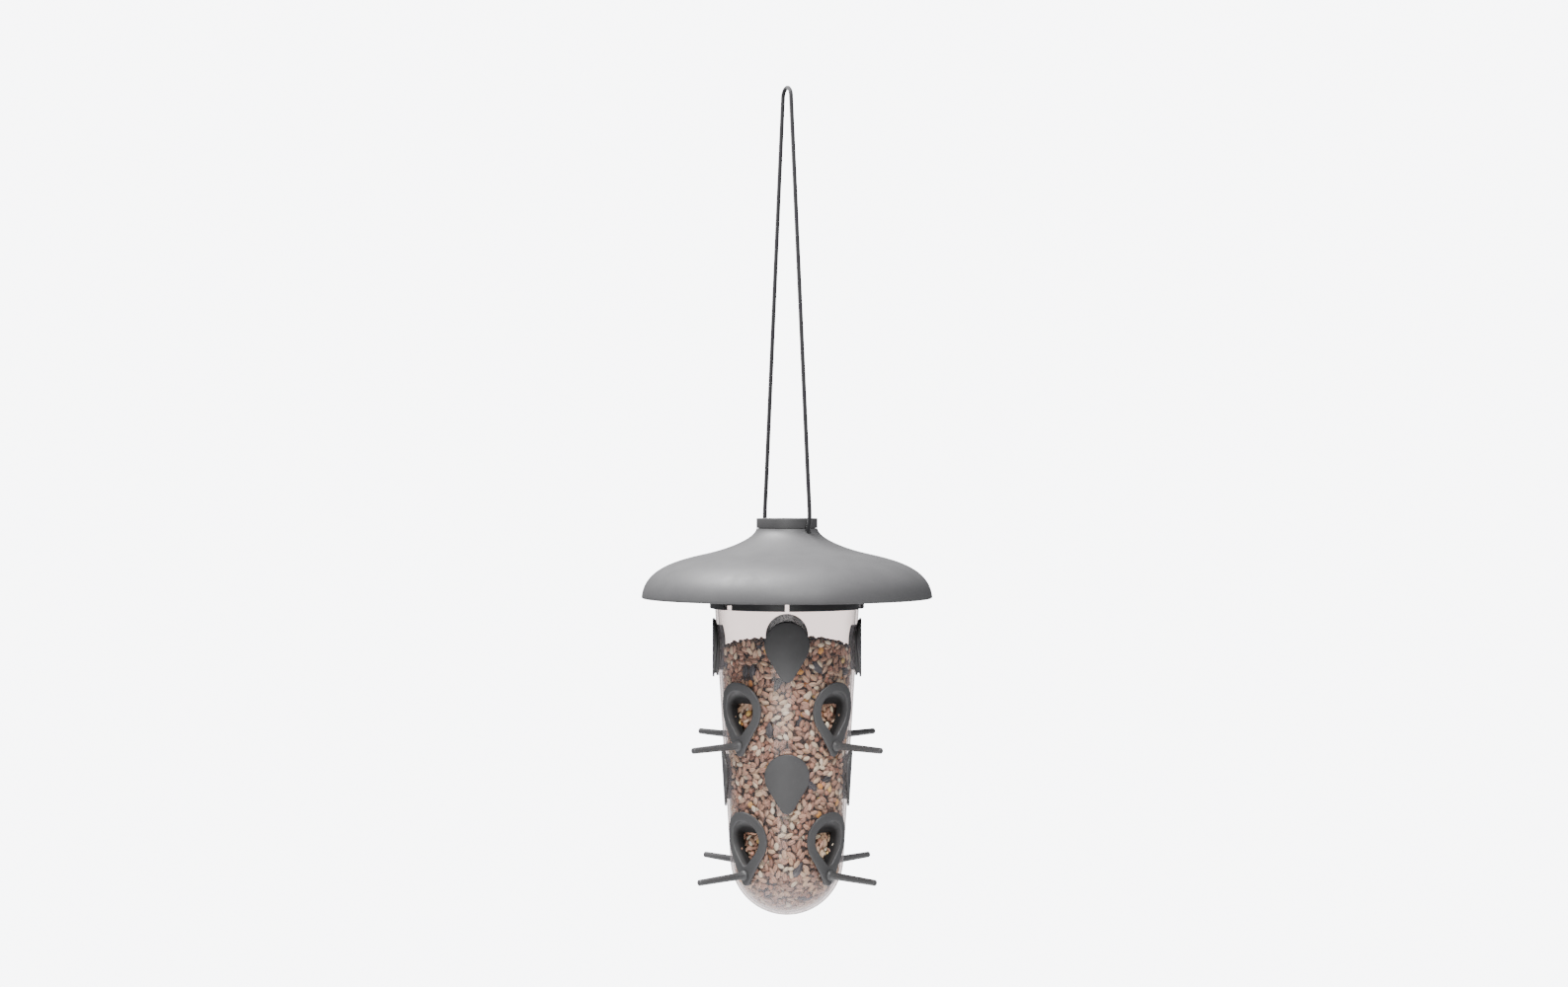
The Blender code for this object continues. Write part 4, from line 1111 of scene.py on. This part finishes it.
def make_plug(row, side):
    """A plate over one hole and a neck in it. The upper plates stand upright on a stepped rim."""
    azimuth = PLUG_AZIMUTHS[side]
    top_z = PLUG_TOP_Z[row]
    reference = plug_reference(row)
    upright = row == "upper"
    middle = -PLUG_SIZE[0] / 2

    def around(outline, radius_at):
        return wrapped(outline, top_z, azimuth, radius_at, reference)

    def face(drop):
        return lambda z: plug_face(row, z) - drop

    def back(z):
        return plug_face(row, z) - PLUG_THICKNESS + (0.1 * MM if upright else 0.0)

    def step_face(z):
        return seat_radius(z) + UPRIGHT_PLUG_STEP_SHARE * (back(z) - seat_radius(z))

    plate = teardrop(PLUG_SIZE, -PLUG_EDGE)
    loops = [around(shrunk(plate, factor, middle), face(0.0)) for factor in (0.12, 0.3, 0.5, 0.7, 0.88)]
    for inset, drop in reversed(rounding(PLUG_EDGE)):
        loops.append(around(teardrop(PLUG_SIZE, -inset), face(drop)))
    loops.append(around(teardrop(PLUG_SIZE), back))
    if upright:
        recess, step = [teardrop(PLUG_SIZE, -inset) for inset in UPRIGHT_PLUG_STEPS]
        stages = ((recess, back), (recess, step_face), (step, step_face), (step, seat_radius))
        loops += [around(outline, radius_at) for outline, radius_at in stages]
    loops.append(around(teardrop(PLUG_SIZE, -PLUG_NECK_INSET), seat_radius))
    for inset, drop in rounding(PLUG_NECK_EDGE, 3):
        outline = teardrop(PLUG_SIZE, -PLUG_NECK_INSET - inset)
        loops.append(around(outline, raised(-PLUG_NECK_DEPTH + drop)))
    inner = teardrop(PLUG_SIZE, -PLUG_NECK_INSET - PLUG_NECK_EDGE)
    for factor in (0.75, 0.45, 0.15):
        loops.append(around(shrunk(inner, factor, middle), raised(-PLUG_NECK_DEPTH)))
    middle_z = top_z + middle
    centres = [
        polar(plug_face(row, middle_z), azimuth, middle_z),
        polar(cone_radius(middle_z) - PLUG_NECK_DEPTH, azimuth, middle_z),
    ]
    builder = bmesh.new()
    add_loops(builder, loops, False, centres)
    plate = from_builder(f"plate_{row}_{side}", builder, PAINTED_SHADE_SLATE if upright else SLATE, 40)
    # Painted shade: the upright plates darken towards their tops, standing for the roof's shadow
    if upright:
        add_painted_shade(plate, lambda place: UPRIGHT_PLUG_PAINTED_SHADE * (1 + (place.z - top_z) / PAINTED_SHADE_LENGTH))
    stands_for(plate, "feeder", "fitting_plastic", f"plug_{row}_{side}")


for row in ROWS:
    for side in PORT_AZIMUTHS:
        make_port(row, side)
        make_perch(row, side)
    for side in PLUG_AZIMUTHS:
        make_plug(row, side)


# ---------------------------------------------------------------- seed

random = np.random.default_rng(7)
MEAN_LEVEL_Z = SEED_TOP_Z - 5.0 * MM
LEVEL_BUMPS = ((33, 16, 5.0), (-36, 18, 3.5), (90, 28, -4.0), (-90, 28, -4.0), (150, 25, 1.5))
WALL_TOP_Z = -388.0 * MM  # above the highest seed on the wall
INNER_FOOT_RADIUS = FOOT_RADIUS - TUBE_WALL
STRAIGHT_LENGTH = (WALL_TOP_Z - FOOT_START_Z) / math.cos(TAPER)
WALL_LENGTH = STRAIGHT_LENGTH + INNER_FOOT_RADIUS * (math.pi / 2 - TAPER)

BODY_CLEARANCE = 0.85  # what a grain keeps from a tunnel or neck, as a share of its radius
WALL_CLEARANCE = 0.75
SPIGOT_CLEARANCE = 2 * MM
FLAT_SETTLE = 1.12  # a grain's distance from the wall, in half thicknesses

WALL_LAYERS = (  # how deep behind the wall, tries, tilt in radians, large seeds tried first
    (0.0, 20000, 0.16, 90),
    (2.6 * MM, 9000, 0.4, 30),
    (5.0 * MM, 4500, 0.5, 0),
)

# The slope of seed at a port's inner end. Lengths are in millimetres on the port's own outline.
THROAT_TRIES = 900
THROAT_LAYER_TRIES = 350
THROAT_LARGE_TRIES = 40
THROAT_HALF_WIDTH = 12
THROAT_BOTTOM, THROAT_TOP = -31.5, -9.0
SLOPE_START_Y, SLOPE_LENGTH = -11, 21
SLOPE_START_LEVEL, SLOPE_RISE = -8.6, 5.6
LAYER_DEPTH = 2.6

TOP_TRIES = 2600
TOP_LARGE_TRIES = 90
TOP_RIM_INSET = 2.4 * MM
TOP_MOUND = 1.5 * MM
TOP_LAYER_DEPTH = 2.8 * MM

CORE_INSET = TUBE_WALL + 8.2 * MM
CORE_TOP_DROP = 4.5 * MM  # below the mean level
CORE_EDGE_DROP = 4.8 * MM
CORE_SIDE_DROP = 9.0 * MM
CORE_WAVES = (900, 1100, 1000)  # per metre along each axis
CORE_WAVE_HEIGHT = 0.35 * MM


def seed_level(azimuth):
    """Height of the seed where it meets the wall: heaped on one side and sunk on others."""
    height = MEAN_LEVEL_Z
    for centre, width, rise in LEVEL_BUMPS:
        turn = (azimuth - centre + 180) % 360 - 180
        height += rise * MM * math.exp(-((turn / width) ** 2))
    return height


def wall_place(azimuth, down, depth):
    """A point some way down the inside of the wall and some way in from it.

    With it come the directions out of the wall and round it, and the wall's radius there.
    """
    if down < STRAIGHT_LENGTH:
        lean = TAPER
        z = WALL_TOP_Z - down * math.cos(TAPER)
        radius = cone_radius(z) - TUBE_WALL / math.cos(TAPER)
    else:
        lean = TAPER + (down - STRAIGHT_LENGTH) / INNER_FOOT_RADIUS
        z = FOOT_CENTRE_Z - INNER_FOOT_RADIUS * math.sin(lean)
        radius = INNER_FOOT_RADIUS * math.cos(lean)
    angle = math.radians(azimuth)
    out = Vector((math.sin(angle) * math.cos(lean), -math.cos(angle) * math.cos(lean), -math.sin(lean)))
    point = polar(radius, azimuth, z) - out * depth
    around = Vector((math.cos(angle), math.sin(angle), 0))
    return point, out, around, radius


def in_teardrop(x, y, size, offset):
    """Whether a point of an unrolled outline lies in a teardrop grown by offset."""
    width, height, tip_radius = size
    big, small = width / 2 + offset, max(tip_radius + offset, 0.1 * MM)
    big_y, small_y = -width / 2, -height + tip_radius
    share = min(1.0, max(0.0, (big_y - y) / (big_y - small_y)))
    reach = big + (small - big) * share
    return x * x + (y - (big_y + (small_y - big_y) * share)) ** 2 < reach * reach


def depth_behind_wall(point):
    """How far a point lies in from the inside of the tube."""
    if point.z >= FOOT_START_Z:
        return cone_radius(point.z) - TUBE_WALL - math.hypot(point.x, point.y)
    return INNER_FOOT_RADIUS - (point - Vector((0, 0, FOOT_CENTRE_Z))).length


def unrolled(azimuth, centre, reference):
    """How far round a tube of the reference radius one azimuth lies from another."""
    return math.radians((azimuth - centre + 180) % 360 - 180) * reference


def blocked(ball, radius, in_throat):
    """Whether a ball would sink into the wall, a port's tunnel, a plug's neck or a perch's spigot."""
    depth = depth_behind_wall(ball)
    tunnel_end = TUNNEL_DEPTH - TUBE_WALL
    if depth > tunnel_end + radius:
        return False
    if depth < WALL_CLEARANCE * radius and not in_throat:
        return True
    azimuth = math.degrees(math.atan2(ball.x, -ball.y))
    spigot_reach = SPIGOT_CLEARANCE + radius
    for row in ROWS:
        for centre in PORT_AZIMUTHS.values():
            x = unrolled(azimuth, centre, port_reference(row))
            y = ball.z - (PORT_TOP_Z[row] - OPENING_BELOW_TOP)
            if in_teardrop(x, y, OPENING_SIZE, TUNNEL_WALL + BODY_CLEARANCE * radius):
                margin = (2.6 if depth < tunnel_end + 0.5 * radius else 0.9) * radius
                return not (in_throat and in_teardrop(x, y, OPENING_SIZE, -margin))
            if depth < spigot_reach and math.hypot(x, ball.z - PERCH_Z[row]) < spigot_reach:
                return True
        for centre in PLUG_AZIMUTHS.values():
            x = unrolled(azimuth, centre, plug_reference(row))
            y = ball.z - PLUG_TOP_Z[row]
            near_neck = depth < PLUG_NECK_DEPTH - TUBE_WALL + radius
            if near_neck and in_teardrop(x, y, PLUG_SIZE, BODY_CLEARANCE * radius - PLUG_NECK_INSET):
                return True
    return False


# (length, width, thickness) in millimetres, share of the mix, and how pointed the ends are
GRAINS = {
    "sunflower": ((12.0, 6.2, 3.8), 0.004, 0.95),
    "wheat": ((6.5, 3.4, 3.0), 0.34, 0.58),
    "red_wheat": ((6.3, 3.3, 2.9), 0.24, 0.58),
    "pale_wheat": ((6.6, 3.5, 3.1), 0.18, 0.58),
    "cream": ((5.6, 3.6, 2.9), 0.09, 0.7),
    "maize": ((5.4, 4.6, 3.4), 0.035, 0.45),
    "milo": ((3.9, 3.8, 3.5), 0.11, 0.5),
}


class Packing:
    """Grains dropped one by one, each kept only where it doesn't sink into its neighbours."""

    CELL = 5.0 * MM
    SOFT = 0.70  # share of the touching distance that two grains keep
    SIZE_SPREAD = 0.07
    SIZE_LIMITS = (0.84, 1.18)
    BALL_SPACING = 0.29  # between the three balls that stand for a grain, as a share of its length
    BALL_SHARE = 0.86  # a ball's radius, as a share of the grain's mean half thickness

    def __init__(self):
        self.cells = {}
        self.placed = {name: [] for name in GRAINS}

    def near(self, point):
        key = [math.floor(c / self.CELL) for c in point]
        for step in itertools.product((-1, 0, 1), repeat=3):
            yield from self.cells.get(tuple(k + s for k, s in zip(key, step)), ())

    def try_grain(self, name, point, out, across, tilt, in_throat=False):
        """Keeps a grain lying flat along out, spun and tilted at random, if it has room."""
        (length, width, thickness), _, _ = GRAINS[name]
        smallest, largest = self.SIZE_LIMITS
        size = min(largest, max(smallest, random.normal(1.0, self.SIZE_SPREAD)))
        spin = random.uniform(0, 2 * math.pi)
        axis = Matrix.Rotation(spin, 3, out) @ across
        side = out.cross(axis)
        axis = Matrix.Rotation(random.normal(0, tilt), 3, side) @ axis
        out = axis.cross(side)
        roll = Matrix.Rotation(random.normal(0, tilt * 1.2), 3, axis)
        side, out = roll @ side, roll @ out
        reach = length * self.BALL_SPACING * size * MM
        radius = (width + thickness) / 4 * self.BALL_SHARE * size * MM
        balls = [point + axis * reach * k for k in (-1, 0, 1)]
        for ball in balls:
            for other, other_radius in self.near(ball):
                if (ball - other).length_squared < ((radius + other_radius) * self.SOFT) ** 2:
                    return
        if any(blocked(ball, radius, in_throat) for ball in balls):
            return
        for ball in balls:
            key = tuple(math.floor(c / self.CELL) for c in ball)
            self.cells.setdefault(key, []).append((ball, radius))
        basis = np.array([list(axis), list(side), list(out)])
        self.placed[name].append((np.array(point), basis, size, random.random()))


def pick_grain():
    """A kind of grain, drawn by its share of the mix."""
    names = list(GRAINS)
    shares = np.array([GRAINS[name][1] for name in names])
    return names[random.choice(len(names), p=shares / shares.sum())]


def half_thickness(name):
    return GRAINS[name][0][2] / 2 * MM


def pack_wall(packing, extra_depth, tries, tilt, large):
    """One layer of grains against the wall, or behind the layer before it. Large seeds go first."""
    for i in range(tries):
        name = "sunflower" if i < large else pick_grain()
        azimuth = random.uniform(-180, 180)
        down = random.uniform(0, WALL_LENGTH)
        depth = half_thickness(name) * FLAT_SETTLE + 0.25 * MM + extra_depth + random.uniform(0, 0.5) * MM
        point, out, around, radius = wall_place(azimuth, down, depth)
        if random.random() > radius / TUBE_REFERENCE_RADIUS or point.z > seed_level(azimuth) - 1.5 * MM:
            continue
        packing.try_grain(name, point, out, around, tilt)


def pack_throat(packing, row, azimuth):
    """The slope of seed at a port's inner end, a few layers deep."""
    opening_z = PORT_TOP_Z[row] - OPENING_BELOW_TOP
    reference = port_reference(row)
    for i in range(THROAT_TRIES):
        name = pick_grain()
        if name == "sunflower" and i > THROAT_LARGE_TRIES:
            name = "wheat"
        x = random.uniform(-THROAT_HALF_WIDTH, THROAT_HALF_WIDTH) * MM
        y = random.uniform(THROAT_BOTTOM, THROAT_TOP) * MM
        share = (SLOPE_START_Y * MM - y) / (SLOPE_LENGTH * MM)
        behind = half_thickness(name) + LAYER_DEPTH * MM * (i // THROAT_LAYER_TRIES)
        level = (SLOPE_START_LEVEL + SLOPE_RISE * share) * MM - behind
        z = opening_z + y
        turn = azimuth + math.degrees(x / reference)
        out = (polar(1, turn, 0) + Vector((0, 0, 0.35))).normalized()
        across = Vector((math.cos(math.radians(turn)), math.sin(math.radians(turn)), 0))
        packing.try_grain(name, polar(cone_radius(z) + level, turn, z), out, across, 0.3, True)


def pack_top(packing):
    """The uneven top of the filling. Every third try goes to a layer below the first."""
    rim = cone_radius(SEED_TOP_Z) - TUBE_WALL
    for i in range(TOP_TRIES):
        name = "sunflower" if i < TOP_LARGE_TRIES else pick_grain()
        azimuth = random.uniform(-180, 180)
        radius = (rim - TOP_RIM_INSET) * math.sqrt(random.random())
        share = (radius / rim) ** 2
        depth = half_thickness(name) + (0.0, TOP_LAYER_DEPTH)[i % 3 == 2]
        mean_z = MEAN_LEVEL_Z + (seed_level(azimuth) - MEAN_LEVEL_Z) * share
        point = polar(radius, azimuth, mean_z + TOP_MOUND * (1 - share) - depth)
        packing.try_grain(name, point, Vector((0, 0, 1)), Vector((1, 0, 0)), 0.35)


HUSK_TAPER = 0.32  # how much a sunflower husk narrows towards one end, and from where
HUSK_TAPER_START = -0.25
CREASE_DEPTH = 0.22
CREASE_HALF_ANGLE = 0.4
LUMPS = 0.05
MAIZE_LUMPS = 3.2  # how much lumpier maize is than the rest
WHEAT_BOW = 0.25  # millimetres


def grain_template(name, variant):
    """One grain in millimetres with its long side along X, as points, faces and places in it."""
    (length, width, thickness), _, point = GRAINS[name]
    shape = np.random.default_rng(variant + 11)
    sides, rings = (12, 9) if name == "sunflower" else (10, 7)
    points, places = [(-length / 2, 0, 0)], [(-1, 0, 0)]
    for i in range(1, rings):
        u = -math.cos(math.pi * i / rings)
        bulge = (1 - u * u) ** point
        if name == "sunflower":
            bulge *= 1 - HUSK_TAPER * (u - HUSK_TAPER_START)
        for k in range(sides):
            a = 2 * math.pi * k / sides
            y, z = math.cos(a), math.sin(a)
            crease = 1.0
            if name.endswith("wheat"):
                crease = 1 - CREASE_DEPTH * math.exp(-(((a - math.pi / 2) / CREASE_HALF_ANGLE) ** 2))
            lump = 1 + shape.uniform(-LUMPS, LUMPS) * (MAIZE_LUMPS if name == "maize" else 1.0)
            scale = bulge * crease * lump
            bow = WHEAT_BOW * (1 - u * u) * name.endswith("wheat")
            points.append((u * length / 2 * lump, y * width / 2 * scale, z * thickness / 2 * scale - bow))
            places.append((u, y * bulge, z * bulge))
    points.append((length / 2, 0, 0))
    places.append((1, 0, 0))
    faces = []
    last = len(points) - 1
    for k in range(sides):
        n = (k + 1) % sides
        faces.append((0, 1 + n, 1 + k))
        faces.append((last, last - sides + k, last - sides + n))
        for i in range(rings - 2):
            a, b = 1 + i * sides, 1 + (i + 1) * sides
            faces.append((a + k, a + n, b + n, b + k))
    return np.array(points) * MM, faces, np.array(places)


def grains_mesh(name, grains):
    """All grains of one kind as one mesh, with a tint for each grain."""
    variants = [grain_template(name, v) for v in range(4)]
    points, faces, places, tints = [], [], [], []
    offset = 0
    for i, (centre, basis, size, tint) in enumerate(grains):
        shape, quads, inside = variants[i % 4]
        points.append(shape * size @ basis + centre)
        places.append(inside)
        tints.append(np.full(len(shape), tint))
        faces += [tuple(offset + corner for corner in face) for face in quads]
        offset += len(shape)
    mesh = bpy.data.meshes.new(f"grains_{name}")
    mesh.from_pydata(np.concatenate(points).tolist(), [], faces)
    tint_layer = mesh.attributes.new("tint", "FLOAT", "POINT")
    tint_layer.data.foreach_set("value", np.concatenate(tints).astype(np.float32))
    place_layer = mesh.attributes.new("grain_at", "FLOAT_VECTOR", "POINT")
    place_layer.data.foreach_set("vector", np.concatenate(places).astype(np.float32).ravel())
    grains_object = new_object(f"grains_{name}", mesh, SKINS[name], 75)
    stands_for(grains_object, "feeder", "seed_mix", "seed_fill")


def make_core():
    """The inside of the filling behind the grains that show, dark with painted shade."""
    edge = cone_radius(MEAN_LEVEL_Z) - CORE_INSET
    profile = [(0.0, MEAN_LEVEL_Z - CORE_TOP_DROP)]
    profile += [(edge * i / 5, MEAN_LEVEL_Z - CORE_EDGE_DROP) for i in range(1, 5)]
    profile += vessel_profile(CORE_INSET, MEAN_LEVEL_Z - CORE_SIDE_DROP, 10)
    core = turned("seed_core", profile, PAINTED_SHADE_CORE, segments=96, closed=False)
    for vertex in core.data.vertices:
        wave = sum(math.sin(c * per_metre) for c, per_metre in zip(vertex.co, CORE_WAVES))
        vertex.co = vertex.co + vertex.normal * wave * CORE_WAVE_HEIGHT
    stands_for(core, "feeder", "seed_mix", "seed_fill")


def make_seed():
    """Throats first, then the layer seen against the wall, the top, and what shows between."""
    packing = Packing()
    for row in ROWS:
        for azimuth in PORT_AZIMUTHS.values():
            pack_throat(packing, row, azimuth)
    outer_layer, *layers_behind = WALL_LAYERS
    pack_wall(packing, *outer_layer)
    pack_top(packing)
    for layer in layers_behind:
        pack_wall(packing, *layer)
    for name, grains in packing.placed.items():
        grains_mesh(name, grains)
    make_core()


make_seed()


# ---------------------------------------------------------------- floor, light and background

FLOOR_Z = -1.02
FLOOR_RADIUS = 1.15
AMBIENT = 0.32
BACKDROP = 8.0
BEHIND_CLEAR = 2.6  # a dimmer backdrop keeps clear plastic visible in front of it


def make_floor():
    """A pale round floor well below the feeder."""
    builder = bmesh.new()
    bmesh.ops.create_circle(builder, cap_ends=True, segments=96, radius=FLOOR_RADIUS)
    floor = from_builder("floor", builder, None)
    floor.location.z = FLOOR_Z
    n = Nodes("pale_floor")
    shade = n.ramp(n.noise(3.0, 2.0, 0.4), ((0.3, (0.80, 0.80, 0.81)), (0.7, (0.84, 0.84, 0.85))))
    floor.data.materials.append(n.surface(shade))


def area_light(name, place, target, size, power, colour=(1, 1, 1)):
    """A round light that the camera does not see."""
    data = bpy.data.lights.new(name, "AREA")
    data.shape = "DISK"
    data.size = size
    data.energy = power
    data.color = colour
    light = bpy.data.objects.new(name, data)
    light.location = place
    light.rotation_euler = (Vector(target) - Vector(place)).to_track_quat("-Z", "Y").to_euler()
    light.visible_camera = False
    bpy.context.scene.collection.objects.link(light)


def make_world():
    """Soft light from all round.

    What the camera sees directly is a plain pale backdrop, and a dimmer one through clear plastic.
    """
    world = bpy.data.worlds.new("studio")
    bpy.context.scene.world = world
    world.use_nodes = True
    tree = world.node_tree

    def background(node, colour, strength):
        node.inputs["Color"].default_value = (*colour, 1)
        node.inputs["Strength"].default_value = strength
        return node.outputs["Background"]

    def chosen(factor, first, second):
        node = tree.nodes.new("ShaderNodeMixShader")
        for socket, value in zip(node.inputs, (factor, first, second)):
            tree.links.new(value, socket)
        return node.outputs["Shader"]

    ambient = background(tree.nodes["Background"], (0.93, 0.95, 1.0), AMBIENT)
    backdrop = background(tree.nodes.new("ShaderNodeBackground"), (0.965, 0.975, 1.0), BACKDROP)
    dimmed = background(tree.nodes.new("ShaderNodeBackground"), (1.0, 0.90, 0.88), BEHIND_CLEAR)
    ray = tree.nodes.new("ShaderNodeLightPath").outputs
    shown = chosen(ray["Transparent Depth"], backdrop, dimmed)
    whole = chosen(ray["Is Camera Ray"], ambient, shown)
    tree.links.new(whole, tree.nodes["World Output"].inputs["Surface"])


make_floor()
make_world()
area_light("top_softbox", (-0.42, 0.0, 0.75), (0, 0, -0.36), 0.7, 60)
area_light("key_softbox", (0.2, -1.3, 0.86), (0, 0, -0.48), 0.5, 36)
area_light("front_fill", (-0.3, -1.9, -0.45), (0, 0, -0.45), 1.4, 9)
